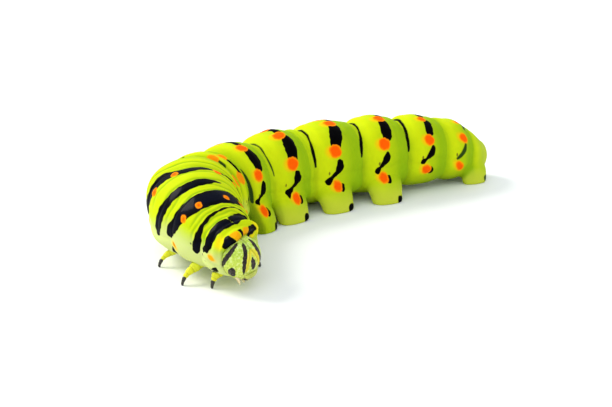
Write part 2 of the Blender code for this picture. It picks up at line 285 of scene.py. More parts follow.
def let_light_in(shader, share, reach, depth):
    """Lets light into the surface. Reach is for red, green and blue, as shares of the depth in metres."""
    shader.inputs["Subsurface Weight"].default_value = share
    shader.inputs["Subsurface Radius"].default_value = reach
    shader.inputs["Subsurface Scale"].default_value = depth


print("node helpers ready")

# %% [markdown]
# ## The floor
# The larva stands on a smooth pale board. A perfectly even white looks like paper cut out of a catalogue,
# so the board gets a faint cloudiness and a very shallow grain that only the light finds.

# %% Floor
FLOOR_HALF = 1.0
FLOOR_STRIPS = 8


def floor_board():
    """A wide sheet in several strips, lying at the level of the feet."""
    mesh = bmesh.new()
    bmesh.ops.create_grid(mesh, x_segments=FLOOR_STRIPS, y_segments=FLOOR_STRIPS, size=FLOOR_HALF)
    data = bpy.data.meshes.new("floor_board")
    mesh.to_mesh(data)
    mesh.free()
    made = bpy.data.objects.new("floor_board", data)
    bpy.context.scene.collection.objects.link(made)
    return made


def floor_material():
    """Near-white satin with faint clouds and grain."""
    made, tree, shader = new_material("pale_board")
    clouds = clouds_of(tree, 6.0, 3.0)
    link(tree, blend_colours(tree, clouds, (0.90, 0.90, 0.895), (0.93, 0.93, 0.925)), shader, "Base Color")
    roughen(tree, shader, clouds_of(tree, 900.0, 2.0), 0.12, 0.0001)
    shader.inputs["Roughness"].default_value = 0.62
    return made


floor = floor_board()
floor.data.materials.append(floor_material())
print("floor", 2 * FLOOR_HALF, "m square")

# %% [markdown]
# ## The rough body
# On the real animal the skin is one bag, drawn in between the rings and drawn out into soft feet. The bag
# could be sculpted by hand. Here a closed tube and ten stumps are laid into each other and then remeshed:
# Blender's voxel remesh keeps only their common outside and covers it with even small squares. It can't
# work finer than a tenth of a millimetre in metres, so the rough body is made a thousand times too large,
# with one unit for each millimetre, and brought to size at the end.


# %% Loops into a closed surface
def closed_surface(loops):
    """Corner points and faces of a tube through equal loops, closed by a flat cap at each end."""
    count = len(loops[0])
    points = np.concatenate(loops)
    faces = []
    for row in range(len(loops) - 1):
        low = row * count
        for k in range(count):
            after = (k + 1) % count
            faces.append((low + k, low + after, low + count + after, low + count + k))
    faces.append(tuple(range(count))[::-1])
    faces.append(tuple(range(len(points) - count, len(points))))
    return points, faces


AROUND = 96
ROUND_ANGLES = np.linspace(0, 2 * math.pi, AROUND, endpoint=False)
# Degrees round the neck, how far ahead of the neck the collar ends in mm, and its share of the neck's half
# width there.
COLLAR_EDGE = (
    (-180, 0.02, 0.92), (-125, -0.12, 0.93), (-100, -0.18, 0.96), (-80, -0.14, 0.99), (-65, 0.02, 1.02),
    (-54, 0.36, 1.02), (-44, 0.56, 0.99), (-36, 0.60, 0.95), (-23, 0.50, 0.91), (-11, 0.34, 0.88),
    (5, 0.22, 0.86), (17, 0.10, 0.87), (30, -0.06, 0.91), (44, -0.34, 0.96), (90, -0.54, 0.97),
    (140, -0.20, 0.95), (180, 0.02, 0.92),
)
# Share of the neck's width and millimetres behind the neck, for the loops that lie inside the head.
COLLAR_ROOT = ((0.40, 0.42), (0.58, 0.40))
# How far the loops before the collar's edge lie inside it and behind it.
COLLAR_LIP = ((0.2, 0.3), (0.09, 0.12))
COLLAR_FRONT = (0.0, 0.12, 0.28, 0.46, 0.64, 0.82)
COLLAR_BULGE = 0.05
LOOPS_PER_RING = 18
TAIL_SLOPES = (15, 30, 45, 58, 70, 80)
TAIL_REACH = 0.95


def rim_station(angle):
    """Where the collar's crest lies at each angle. Ahead of it the skin slopes down to the head."""
    degrees = np.degrees((angle + math.pi) % (2 * math.pi) - math.pi)
    return np.interp(
        degrees,
        (-180, -100, -60, -44, -26, -9, 15, 44, 90, 180),
        (0.02, 0.14, 0.24, 0.25, 0.22, 0.18, 0.20, 0.29, 0.34, 0.02),
    )


def collar_loops(crest):
    """Loops from inside the head out to the collar's edge, and up its front to the crest."""
    ahead = -np.array((math.cos(NECK_HEADING), math.sin(NECK_HEADING), 0))
    axis = np.array((NECK[0], NECK[1], EDGE_HEIGHT[0]))
    round_neck = body_points(np.zeros(AROUND), ROUND_ANGLES) - axis
    degrees = (np.degrees(ROUND_ANGLES) + 180) % 360 - 180
    table = np.array(COLLAR_EDGE)
    reach = np.interp(degrees, table[:, 0], table[:, 1])[:, None]
    share = np.interp(degrees, table[:, 0], table[:, 2])[:, None]
    loops = [axis + round_neck * width - ahead * back for width, back in COLLAR_ROOT]
    loops += [axis + round_neck * (share - step) + ahead * (reach - back) for step, back in COLLAR_LIP]
    edge = axis + round_neck * share + ahead * reach
    for part in COLLAR_FRONT:
        bulge = 4 * part * (1 - part) * COLLAR_BULGE
        loops.append(edge + (crest - edge) * part + round_neck * bulge + ahead * bulge)
    return loops


def trunk_loops():
    """Loops of the trunk: the collar that holds the head, every ring, and the rounded tail."""
    rim = rim_station(ROUND_ANGLES)
    loops = collar_loops(body_points(rim, ROUND_ANGLES))
    for station in np.linspace(0, RINGS, RINGS * LOOPS_PER_RING + 1):
        receded = station + rim * max(0.0, 1 - station / 0.8)
        loops.append(body_points(receded, ROUND_ANGLES))
    last = loops[-1]
    centre = last.mean(0)
    heading = EDGE_HEADING[-1]
    back = np.array((math.cos(heading), math.sin(heading), 0))
    for slope in np.radians(TAIL_SLOPES):
        loops.append(centre + (last - centre) * math.cos(slope) + back * TAIL_REACH * math.sin(slope))
    return loops


trunk = trunk_loops()
print("trunk", len(trunk), "loops of", AROUND, "points")


# %% Stumps for the soft feet
def beside(station, out, height):
    """A point at a distance to the left of the spine (negative to the right), at a height over the floor."""
    x, y, heading, _, _, _, _ = spine_at(station)
    return np.array((float(x + np.sin(heading) * out), float(y - np.cos(heading) * out), height))


# Heights over the floor, distances from the spine, half lengths and half widths, from inside the body down
# to the sole. The feet in the middle of the body come first, then the pair at the tail, called claspers.
PROLEG_SHAPE = (
    (2.45, 1.95, 1.45, 1.10, 0.85, 0.60, 0.40, 0.24, 0.12, 0.045, 0.0),
    (1.95, 2.42, 2.86, 3.12, 3.32, 3.48, 3.58, 3.64, 3.67, 3.68, 3.68),
    (1.02, 1.08, 1.08, 1.04, 0.98, 0.93, 0.91, 0.92, 0.92, 0.88, 0.78),
    (1.20, 1.24, 1.16, 1.04, 0.96, 0.90, 0.87, 0.87, 0.86, 0.82, 0.70),
)
CLASPER_SHAPE = (
    (2.0, 1.65, 1.30, 1.0, 0.75, 0.50, 0.30, 0.16, 0.05, 0.0),
    (1.00, 1.25, 1.48, 1.62, 1.74, 1.84, 1.91, 1.94, 1.94, 1.94),
    (1.40, 1.45, 1.46, 1.42, 1.37, 1.32, 1.30, 1.29, 1.24, 1.10),
    (0.92, 0.92, 0.88, 0.80, 0.75, 0.70, 0.68, 0.68, 0.65, 0.56),
)
PROLEG_RINGS = (5, 6, 7, 8)
PROLEG_SHARE = 0.46
PROLEG_STRETCH = 0.38
LONGEST_STRETCH = 1.62
CLASPER_STATION = 11.24
FOOT_AROUND = 40
FOOT_SQUARENESS = 2.3


def stump_loops(station, side, shape, stretch):
    """Level, slightly squared loops of one soft foot, from inside the body down to its sole."""
    _, _, heading, _, _, _, _ = spine_at(station)
    along = np.array((math.cos(heading), math.sin(heading), 0))
    left = np.array((math.sin(heading), -math.cos(heading), 0))
    turn = np.linspace(0, 2 * math.pi, FOOT_AROUND, endpoint=False)
    corner = np.abs(np.cos(turn)) ** FOOT_SQUARENESS + np.abs(np.sin(turn)) ** FOOT_SQUARENESS
    squared = corner ** (-1 / FOOT_SQUARENESS)
    loops = []
    for level, out, long_half, wide_half in zip(*shape):
        centre = beside(station, side * out, level)
        forth = along[None] * (long_half * stretch * squared * np.cos(turn))[:, None]
        sideways = left[None] * (wide_half * squared * np.sin(turn))[:, None]
        loops.append(centre + forth + sideways)
    return loops


def stump_list():
    """Station, side and loops of all ten soft feet."""
    feet = []
    for ring in PROLEG_RINGS:
        where = ring + PROLEG_SHARE
        stretch = min(LONGEST_STRETCH, RING_LENGTH[ring] * PROLEG_STRETCH)
        for side in (-1, 1):
            feet.append((where, side, stump_loops(where, side, PROLEG_SHAPE, stretch)))
    for side in (-1, 1):
        feet.append((CLASPER_STATION, side, stump_loops(CLASPER_STATION, side, CLASPER_SHAPE, 1.0)))
    return feet


stumps = stump_list()
print("soft feet", len(stumps))

# %% Remeshing the rough body into one skin
VOXEL = 0.085


def joined_mesh(name, parts, unit=1.0):
    """One mesh that holds several closed surfaces, each given by its points and faces."""
    points = []
    faces = []
    start = 0
    for here, around in parts:
        points.append(here)
        faces += [tuple(start + k for k in face) for face in around]
        start += len(here)
    data = bpy.data.meshes.new(name)
    data.from_pydata((np.concatenate(points) * unit).tolist(), [], faces)
    fixing = bmesh.new()
    fixing.from_mesh(data)
    bmesh.ops.recalc_face_normals(fixing, faces=fixing.faces)
    fixing.to_mesh(data)
    fixing.free()
    return data


def remeshed(data, voxel):
    """The common outside of a mesh's surfaces, in even squares."""
    rough = bpy.data.objects.new("rough_body", data)
    bpy.context.scene.collection.objects.link(rough)
    modifier = rough.modifiers.new("even_squares", "REMESH")
    modifier.mode = "VOXEL"
    modifier.voxel_size = voxel
    graph = bpy.context.evaluated_depsgraph_get()
    even = bpy.data.meshes.new_from_object(rough.evaluated_get(graph))
    bpy.data.objects.remove(rough, do_unlink=True)
    return even


rough_parts = [closed_surface(loops) for loops in [trunk] + [foot[2] for foot in stumps]]
skin_mesh = remeshed(joined_mesh("larva_skin", rough_parts), VOXEL)
print("skin", len(skin_mesh.vertices), "points,", len(skin_mesh.polygons), "squares")


# %% [markdown]
# ## Where each point of the skin lies
# To fold and paint the skin, each of its points needs two numbers again: its station along the spine, and
# its angle round the body. Every cross-section of the trunk stands upright, so seen from above the
# station is where the spine passes the point most closely. That is found by trying many stations and then
# correcting the best.


# %% Stations and angles of the skin's points
STATION_TRIES = np.linspace(-0.35, RINGS + 0.6, 400)
POINTS_AT_ONCE = 20000


def mesh_points(data):
    """The corner points of a mesh as an array."""
    flat = np.zeros(len(data.vertices) * 3)
    data.vertices.foreach_get("co", flat)
    return flat.reshape(-1, 3)


def nearest_station(points):
    """Station of each point, from a coarse search and a few corrections."""
    x, y, _, _, _, _, _ = spine_at(STATION_TRIES)
    station = np.zeros(len(points))
    for start in range(0, len(points), POINTS_AT_ONCE):
        part = points[start:start + POINTS_AT_ONCE]
        gap = (part[:, :1] - x[None]) ** 2 + (part[:, 1:2] - y[None]) ** 2
        station[start:start + POINTS_AT_ONCE] = STATION_TRIES[np.argmin(gap, 1)]
    for _ in range(5):
        x, y, heading, _, _, ring, _ = spine_at(station)
        along = (points[:, 0] - x) * np.cos(heading) + (points[:, 1] - y) * np.sin(heading)
        across = (points[:, 0] - x) * np.sin(heading) - (points[:, 1] - y) * np.cos(heading)
        stretch = RING_LENGTH[ring] + across * RING_TURN[ring]
        station += np.clip(along / np.maximum(stretch, 0.4), -0.2, 0.2)
    return station


def section_place(points, station):
    """Angle round the body, and how far out a point lies: 1 on the trunk's surface."""
    x, y, heading, _, height, _, _ = spine_at(station)
    across = (points[:, 0] - x) * np.sin(heading) - (points[:, 1] - y) * np.cos(heading)
    rise = points[:, 2] - height
    radius, depth = section_sizes(station)
    tall = np.where(rise >= 0, radius, depth)
    power = np.where(rise >= 0, 2.0, BELLY_FULLNESS)
    out = (np.abs(across / radius) ** power + np.abs(rise / tall) ** power) ** (1 / power)
    out = np.maximum(out, 1e-6)
    angle = np.arccos(np.clip(rise / tall / out, -1, 1)) * np.where(across < 0, -1, 1)
    return angle, out


skin_points = mesh_points(skin_mesh)
station = nearest_station(skin_points)
angle, out = section_place(skin_points, station)
print("stations", round(float(station.min()), 2), "to", round(float(station.max()), 2),
      "and furthest out", round(float(out.max()), 2))


# %% [markdown]
# ## Smoothing where the soft feet grow out
# Remeshing leaves a sharp line where a foot meets the trunk, and tiny steps on the feet. On the animal
# the skin runs over such places in a soft fillet. Each point near a foot is moved towards the mean of its
# neighbours, a few times, and the rest of the trunk is laid back exactly on its own surface.


# %% Smoothing with a mask
def edge_list(data):
    """Pairs of neighbouring points."""
    flat = np.zeros(len(data.edges) * 2, int)
    data.edges.foreach_get("vertices", flat)
    return flat.reshape(-1, 2)


def smoothed(values, edges, mask, rounds):
    """Values, or points, moved towards the mean of their neighbours where the mask allows it."""
    count = len(values)
    table = values.reshape(count, -1).copy()
    degree = np.bincount(edges[:, 0], minlength=count) + np.bincount(edges[:, 1], minlength=count)
    for _ in range(rounds):
        total = np.zeros_like(table)
        for column in range(table.shape[1]):
            total[:, column] += np.bincount(edges[:, 0], table[edges[:, 1], column], count)
            total[:, column] += np.bincount(edges[:, 1], table[edges[:, 0], column], count)
        table += (total / degree[:, None] - table) * mask[:, None]
    return table.reshape(values.shape)


def ramp(value, low, high):
    """0 below low, 1 above high, and a smooth rise between."""
    share = np.clip((value - low) / (high - low), 0, 1)
    return share * share * (3 - 2 * share)


def window(value, rise, fall):
    """1 from the end of the rise to the start of the fall, 0 outside them. Rise and fall are pairs."""
    return ramp(value, *rise) * (1 - ramp(value, *fall))


def hump(value, middle, width):
    """1 in the middle, and almost 0 from two widths away."""
    return np.exp(-(((value - middle) / width) ** 2))


def nearest_on_line(points, first, last):
    """The share of the line where each point lies closest to it, and the distance to it there."""
    line = last - first
    share = np.clip(((points - first) @ line) / max(float(line @ line), 1e-9), 0, 1)
    return share, np.linalg.norm(points - (first + share[:, None] * line), axis=1)


LAST_RING = RINGS - 1
FOOT_ROOT_HEIGHT = 1.35
FILLET_ROUNDS = 22


def foot_nearness(points):
    """1 on and close to a soft foot, falling to 0 within a millimetre."""
    near = np.zeros(len(points))
    for where, side, _ in stumps:
        root_out, sole_out = (2.5, 3.6) if where < LAST_RING else (1.4, 1.85)
        root = beside(where, side * root_out, FOOT_ROOT_HEIGHT)
        _, gap = nearest_on_line(points, root, beside(where, side * sole_out, 0.0))
        near = np.maximum(near, 1 - ramp(gap, 1.7, 2.5))
    return near


skin_edges = edge_list(skin_mesh)
near_foot = foot_nearness(skin_points)
on_trunk = window(out, (0.93, 0.975), (1.004, 1.03)) * (station < RINGS - 0.02)
on_trunk *= ramp(station - rim_station(angle), 0.01, 0.07)
snapped = body_points(station, angle)
sole_level = 1 - ramp(skin_points[:, 2], 0.02, 0.14)
free = np.clip(1 - on_trunk, 0, 1) * (1 - 0.9 * sole_level)
start_points = skin_points + (snapped - skin_points) * on_trunk[:, None]
fillet = np.clip(near_foot * 0.55 + free * 0.6, 0, 0.7) * (1 - 0.9 * sole_level)
smooth_points = smoothed(start_points, skin_edges, fillet, FILLET_ROUNDS)
print("smoothed", int((fillet > 0.05).sum()), "points round the feet and ends")

# %% [markdown]
# ## Folds
# Between the rings the skin dips, and each ring has shallow creases of its own, which is what makes a
# larva look soft instead of turned on a lathe. Each crease is a line across the back with a depth and a
# width. The first rings, behind the head, are drawn up into rolls with deeper creases, and one long fold
# runs along each side.

# %% Crease tables
# Station, depth and half width in mm, and the lowest angle that the crease reaches on each side.
THORAX_CREASES = (
    (0.90, 0.09, 0.12, 105), (1.07, 0.05, 0.08, 95),
    (1.23, 0.05, 0.09, 95), (1.345, 0.06, 0.09, 70), (1.90, 0.08, 0.12, 110), (2.10, 0.05, 0.09, 95),
    (2.34, 0.06, 0.12, 100), (2.64, 0.05, 0.12, 80), (2.95, 0.07, 0.14, 115), (3.25, 0.09, 0.13, 110),
    (3.50, 0.04, 0.12, 90), (3.80, 0.08, 0.14, 112), (4.08, 0.06, 0.13, 110), (4.34, 0.05, 0.16, 90),
    (4.84, 0.06, 0.16, 105),
)
RING_CREASES = (
    (0.045, 0.05, 0.12, 125), (0.40, 0.022, 0.22, 80), (0.78, 0.055, 0.22, 110), (0.93, 0.035, 0.14, 125),
)
FIRST_EQUAL_RING = 5
# Station, depth and half width in mm of the dips across the back. Negative depths are the domes between them.
BACK_DIPS = (
    (4.02, 0.12, 0.30), (4.62, 0.28, 0.46), (5.06, 0.46, 0.42), (6.18, 0.62, 0.50), (7.20, 0.44, 0.42),
    (8.14, 0.42, 0.40), (9.07, 0.34, 0.40), (6.72, -0.20, 0.60), (7.66, -0.18, 1.10), (8.58, -0.17, 0.95),
    (9.50, -0.10, 0.90), (10.70, -0.20, 0.80),
)
print("creases behind the head", len(THORAX_CREASES), "and dips and domes of the back", len(BACK_DIPS))


# %% Depths of the folds
def back_dips(station, angle):
    """How far the back sinks in between the rings of the bend, in mm."""
    arc = arc_at(station)
    degrees = np.abs(np.degrees(angle))
    fade = 0.25 + 0.75 * (1 - ramp(degrees, 30, 95))
    depth = np.zeros(len(station))
    for where, deep, wide in BACK_DIPS:
        depth += deep * fade * hump(arc, arc_at(where), wide)
    return depth * (1 - ramp(degrees, 95, 125))


def crease_depth(station, angle):
    """How deep each point lies in the creases, in mm."""
    degrees = np.abs(np.degrees(angle))
    wander = 0.05 * np.sin(angle * 5 + station * 3.1) + 0.04 * np.sin(angle * 9 + station * 7.7)
    arc = arc_at(station) + wander
    depth = np.zeros(len(station))
    creases = list(THORAX_CREASES)
    for ring in range(FIRST_EQUAL_RING, LAST_RING):
        creases += [(ring + share, deep, wide, low) for share, deep, wide, low in RING_CREASES]
    for where, deep, wide, low in creases:
        fade = 1 - ramp(degrees, low - 22, low + 8)
        depth += deep * fade * hump(arc, arc_at(where), wide)
    return depth


def collar_roll(station, angle):
    """The rolled crest of the collar, with a crease before and behind it."""
    degrees = np.degrees(angle)
    arc = (station - rim_station(angle)) * RING_LENGTH[0]
    fade = 1 - ramp(np.abs(degrees), 66, 100)
    high = 0.10 + 0.14 * window(degrees, (-5, 28), (50, 75))
    creases = 0.05 * hump(arc, -0.08, 0.08) + 0.05 * hump(arc, 0.47, 0.09)
    return (high * hump(arc, 0.19, 0.17) - creases) * fade


def neck_folds(station, angle):
    """The two swellings on each side of the neck, one over the other, with a fold between."""
    degrees = np.abs(np.degrees(angle))
    upper = 0.11 * hump(degrees, 92, 8.5) * hump(station, 0.42, 0.30)
    lower = 0.12 * hump(degrees, 119, 8) * hump(station, 0.40, 0.34)
    groove = 0.11 * hump(degrees, 106 + 3 * np.sin(station * 6), 3.4)
    far = 0.22 * window(np.degrees(angle), (50, 80), (120, 150))
    return (upper + lower - groove - far) * window(station, (-0.05, 0.16), (0.84, 1.06))


def side_fold(station, angle):
    """The long fold on each side, the swellings below it, and one more on the right side of the bend."""
    degrees = np.abs(np.degrees(angle))
    level = 101 + 3 * np.sin(station * 2 * math.pi)
    groove = -0.075 * hump(degrees, level, 4.5)
    lobe = 0.13 * hump(degrees, level + 15, 9) * (0.55 + 0.45 * np.sin(station * 2 * math.pi - 1.4))
    skirt = 0.22 * hump(degrees, 124, 14) * window(station, (4, 6), (8.2, 9.4))
    turn = 0.30 * hump(station, 3.3, 0.62) * hump(np.degrees(angle), -56, 26)
    return (groove + lobe + skirt + turn) * window(station, (1.2, 2.5), (10.6, 11.4))


def skin_waves(points):
    """Gentle unevenness of living skin, a few hundredths of a millimetre high."""
    x, y, z = points.T
    wave = np.sin(1.9 * x + 1.3 * np.sin(1.7 * y)) * np.sin(2.3 * z + 1.1 * x)
    wave += 0.6 * np.sin(4.1 * y + 2.0 * np.sin(2.9 * z)) * np.sin(3.3 * x + 0.7)
    return 0.016 * wave


creased = crease_depth(station, angle)
folded = side_fold(station, angle) + collar_roll(station, angle) + neck_folds(station, angle)
print("deepest crease", round(float(creased.max()), 3), "mm")


# %% Moving the skin in and out
def mesh_normals(data, points):
    """Outward directions at the points of a mesh."""
    data.vertices.foreach_set("co", points.ravel())
    data.update()
    flat = np.zeros(len(points) * 3)
    data.vertex_normals.foreach_get("vector", flat)
    return flat.reshape(-1, 3)


trunk_share = 1 - ramp(out, 1.02, 1.12)
by_foot = near_foot * ramp(np.abs(angle), 1.9, 2.2)
relief = (folded - creased - back_dips(station, angle)) * trunk_share * (1 - 0.65 * by_foot)
relief += skin_waves(skin_points)
relief = smoothed(relief, skin_edges, np.full(len(relief), 0.5), 2)
relief *= 1 - sole_level
outward = mesh_normals(skin_mesh, smooth_points)
skin_points = smooth_points + outward * relief[:, None]
skin_points[:, 2] = np.maximum(skin_points[:, 2], 0.0)
print("skin lies between", skin_points.min(0).round(2), "and", skin_points.max(0).round(2))

# %% [markdown]
# ## Markings
# The pattern is what the species is known by: black bands, each broken by orange spots. It could be
# painted into an image, but a picture has a fixed sharpness and an origin. Here each mark is a short line
# or patch given by station and angle, and the skin stores how far every point is from its edge. The
# material then cuts the mark out at any sharpness, and can ruffle the edge a little.


# %% A flat chart of the skin, and distances on it
NO_MARK = -3.0
MARK_REACH = 1.2


def chart(station, degrees):
    """Millimetres along the spine and round the body."""
    station = np.asarray(station, float)
    past_tail = np.maximum(station - RINGS, 0) * RING_LENGTH[-1]
    before_neck = np.minimum(station, 0) * RING_LENGTH[0]
    arc = arc_at(station) + past_tail + before_neck
    _, _, _, radius, _, _, _ = spine_at(np.clip(station, 0, RINGS))
    return np.stack((arc, np.radians(degrees) * radius), -1)


def stroke_field(spots, path):
    """Signed distance to a stroke: positive inside. Each corner of the path has its own half width."""
    path = np.asarray(path, float)
    corners = chart(path[:, 0], path[:, 1])
    widths = path[:, 2]
    field = np.full(len(spots), NO_MARK)
    for k in range(len(corners) - 1):
        first, last = corners[k:k + 2]
        reach = MARK_REACH + max(widths[k:k + 2])
        low = np.minimum(first, last) - reach
        high = np.maximum(first, last) + reach
        near = np.all((spots > low) & (spots < high), axis=1)
        share, gap = nearest_on_line(spots[near], first, last)
        wide = widths[k] + (widths[k + 1] - widths[k]) * share
        field[near] = np.maximum(field[near], wide - gap)
    return field


def curved(path, pieces=5):
    """Rounds a path by passing a smooth curve through its corners."""
    path = np.asarray(path, float)
    if len(path) < 3:
        return path
    knots = np.arange(len(path))
    padded = np.vstack((2 * path[0] - path[1], path, 2 * path[-1] - path[-2]))
    fine = np.linspace(0, len(path) - 1, (len(path) - 1) * pieces + 1)
    k = np.minimum(np.floor(fine).astype(int), knots[-1] - 1)
    t = (fine - k)[:, None]
    a, b, c, d = padded[k], padded[k + 1], padded[k + 2], padded[k + 3]
    return 0.5 * (2 * b + (c - a) * t + (2 * a - 5 * b + 4 * c - d) * t**2 + (3 * b - a - 3 * c + d) * t**3)


def patch_field(spots, outline):
    """Signed distance to a closed patch whose outline runs smoothly through the given corners."""
    outline = np.asarray(outline, float)
    loop = curved(np.vstack((outline, outline[:1])), 4)
    corners = chart(loop[:, 0], loop[:, 1])
    low = corners.min(0) - MARK_REACH
    high = corners.max(0) + MARK_REACH
    near = np.all((spots > low) & (spots < high), axis=1)
    here = spots[near]
    gap = np.full(len(here), -NO_MARK)
    inside = np.zeros(len(here), bool)
    for first, last in zip(corners, np.roll(corners, -1, axis=0)):
        gap = np.minimum(gap, nearest_on_line(here, first, last)[1])
        crosses = (first[1] > here[:, 1]) != (last[1] > here[:, 1])
        along, rise = last - first
        rise = rise if abs(rise) > 1e-9 else 1e-9
        where = first[0] + (here[:, 1] - first[1]) / rise * along
        inside ^= crosses & (here[:, 0] < where)
    field = np.full(len(spots), NO_MARK)
    field[near] = np.where(inside, gap, -gap)
    return field


def spot_field(spots, station, degrees, along, around):
    """Signed distance to an oval spot, about right near its edge."""
    centre = chart([station], [degrees])[0]
    away = (spots - centre) / (along, around)
    return (1 - np.linalg.norm(away, axis=1)) * min(along, around)


def mirrored(path, side):
    """The same marks on the other side of the back, where side is -1."""
    return [(corner[0], corner[1] * side, *corner[2:]) for corner in path]


signed_degrees = np.degrees(angle)
spots = chart(station, signed_degrees)
print("chart reaches", spots.max(0).round(1), "mm")

# %% Paints and how they are laid on
PAINTS = {name: np.full(len(spots), NO_MARK) for name in ("ink", "amber", "dark_mark_and_fold_shade", "breath", "flare")}


def lay(paint, field):
    """Adds one mark, given by its signed distances, to a paint."""
    PAINTS[paint] = np.maximum(PAINTS[paint], field)


def lay_spots(paint, table):
    """Adds oval spots: station, degrees, and half sizes along and round the body in mm."""
    for where, degrees, along, around in table:
        lay(paint, spot_field(spots, where, degrees, along, around))


print("paints", list(PAINTS))

# %% [markdown]
# The bands of the three rings behind the head run almost round the body, and no two are alike: a shield
# on the first ring, a thin band that swells at its ends, a wide glossy one with orange spots, a plain
# one, and one more at the back of the third ring.

# %% Bands behind the head
SHIELD_RIGHT = (
    (0.72, -86), (0.78, -74), (0.79, -62), (0.79, -50), (0.81, -34), (0.78, -20), (0.70, -9.5), (0.45, -8.2),
    (0.26, -8.2), (0.25, -20), (0.31, -33), (0.38, -44), (0.42, -58), (0.46, -72), (0.58, -85),
)
SHIELD_LEFT = (
    (0.46, -6.9), (0.72, -6.4), (0.88, 3), (0.98, 13), (1.05, 24), (1.09, 36), (1.12, 50), (1.07, 64),
    (0.92, 64), (0.80, 52), (0.64, 38), (0.50, 26), (0.38, 15), (0.27, 3), (0.25, -6.9),
)
THIN_BAND = (
    (1.12, -95, 0.21), (1.10, -85, 0.28), (1.085, -74, 0.27), (1.10, -62, 0.20), (1.115, -48, 0.14),
    (1.13, -30, 0.12), (1.145, -14, 0.10), (1.17, 2, 0.08), (1.21, 20, 0.05), (1.22, 34, 0.05),
    (1.20, 52, 0.12), (1.16, 70, 0.22), (1.14, 88, 0.26),
)
WIDE_BAND = (
    (2.05, -98), (2.08, -84), (1.97, -68), (1.93, -54), (1.895, -40), (1.86, -26), (1.84, -10), (1.86, 6),
    (1.90, 24), (1.96, 38), (2.03, 52), (2.10, 68), (2.14, 84), (2.10, 98), (1.98, 96), (1.84, 84),
    (1.70, 70), (1.53, 54), (1.40, 38), (1.345, 20), (1.335, 2), (1.35, -16), (1.39, -32), (1.47, -48),
    (1.60, -66), (1.74, -82), (1.94, -97),
)
PLAIN_BAND = (
    (2.38, -103, 0.20), (2.34, -89, 0.33), (2.30, -75, 0.34), (2.26, -60, 0.33), (2.23, -44, 0.32),
    (2.20, -28, 0.34), (2.20, -10, 0.36), (2.20, 4, 0.34), (2.215, 16, 0.22), (2.22, 27, 0.03),
)
PLAIN_END = ((2.25, 62, 0.06), (2.28, 71, 0.24), (2.32, 82, 0.31), (2.37, 98, 0.22))
LAST_BAND = (
    (3.25, -101, 0.16), (3.09, -86, 0.34), (2.94, -70, 0.46), (2.91, -56, 0.50), (2.90, -42, 0.52),
    (2.85, -30, 0.48), (2.79, -18, 0.40), (2.77, -4, 0.38), (2.79, 8, 0.32), (2.81, 18, 0.18),
    (2.80, 27, 0.14), (2.83, 35, 0.22), (2.96, 44, 0.21), (3.03, 53, 0.16), (3.02, 66, 0.20),
    (3.04, 80, 0.28), (3.15, 96, 0.16),
)
COLLAR_BLACK = (
    (
        (0.05, -63), (0.08, -53), (0.11, -44), (0.07, -38), (-0.08, -36.5), (-0.42, -36), (-0.46, -50),
        (-0.20, -62), (-0.06, -66),
    ),
    ((-0.02, -15.5), (0.01, -9), (-0.01, -4.5), (-0.10, -6.5), (-0.22, -6), (-0.24, -14), (-0.10, -14)),
    (
        (0.03, 16), (0.14, 24), (0.24, 33), (0.31, 41), (0.33, 49), (0.26, 55), (0.13, 47), (0.01, 34),
        (-0.08, 21),
    ),
)
COLLAR_ORANGE = (
    (
        (0.04, -35), (0.02, -28), (-0.01, -20), (-0.07, -16.5), (-0.24, -16), (-0.36, -22), (-0.42, -30),
        (-0.38, -36), (-0.10, -37),
    ),
    ((-0.03, -3.5), (0.03, 7), (0.065, 16.5), (0.0, 19), (-0.07, 17), (-0.14, 6), (-0.20, -3), (-0.10, -4.5)),
)
BAND_ORANGE = (
    (1.61, -57, 0.26, 0.27), (1.53, -28, 0.27, 0.25), (1.54, 19, 0.25, 0.23), (1.58, 49, 0.25, 0.26),
    (2.77, -58, 0.30, 0.30), (2.77, -26, 0.30, 0.30), (2.79, 28, 0.36, 0.36), (3.02, 60, 0.28, 0.30),
    (4.10, 18, 0.50, 0.52), (4.46, 61, 0.95, 0.60), (3.66, 60, 1.10, 0.58), (0.39, -91, 0.25, 0.19),
    (0.42, 99, 0.25, 0.19), (1.81, -105, 0.20, 0.18), (1.85, 106, 0.20, 0.18),
)
RIGHT_BLACK = (((0.68, -107, 0.03), (0.83, -108, 0.045)), ((0.80, -84, 0.16), (0.76, -80, 0.18)))
PAIRED_BLACK = (
    ((1.24, 84.5, 0.085), (1.24, 84, 0.085)), ((0.52, 136, 0.10), (0.42, 127, 0.19), (0.27, 118, 0.15)),
    ((1.90, 116, 0.11), (1.98, 126, 0.21), (2.04, 137, 0.20)),
)
print("patches on the collar", len(COLLAR_BLACK))


# %% Laying the bands
for outline in (SHIELD_RIGHT, SHIELD_LEFT, WIDE_BAND) + COLLAR_BLACK:
    lay("ink", patch_field(spots, outline))
for path in (THIN_BAND, PLAIN_BAND, PLAIN_END, LAST_BAND) + RIGHT_BLACK:
    lay("ink", stroke_field(spots, curved(path)))
for path in PAIRED_BLACK:
    for side in (-1, 1):
        lay("ink", stroke_field(spots, curved(mirrored(path, side))))
for outline in COLLAR_ORANGE:
    lay("amber", patch_field(spots, outline))
lay_spots("amber", BAND_ORANGE)
print("black on", int((PAINTS["ink"] > 0).sum()), "points, orange on", int((PAINTS["amber"] > 0).sum()))

# %% [markdown]
# From the first ring of the abdomen back, every ring repeats one row of marks on each side: orange, a
# black bar, orange, a black hook, and a last orange spot above the foot. Only their places shift a little
# from ring to ring.

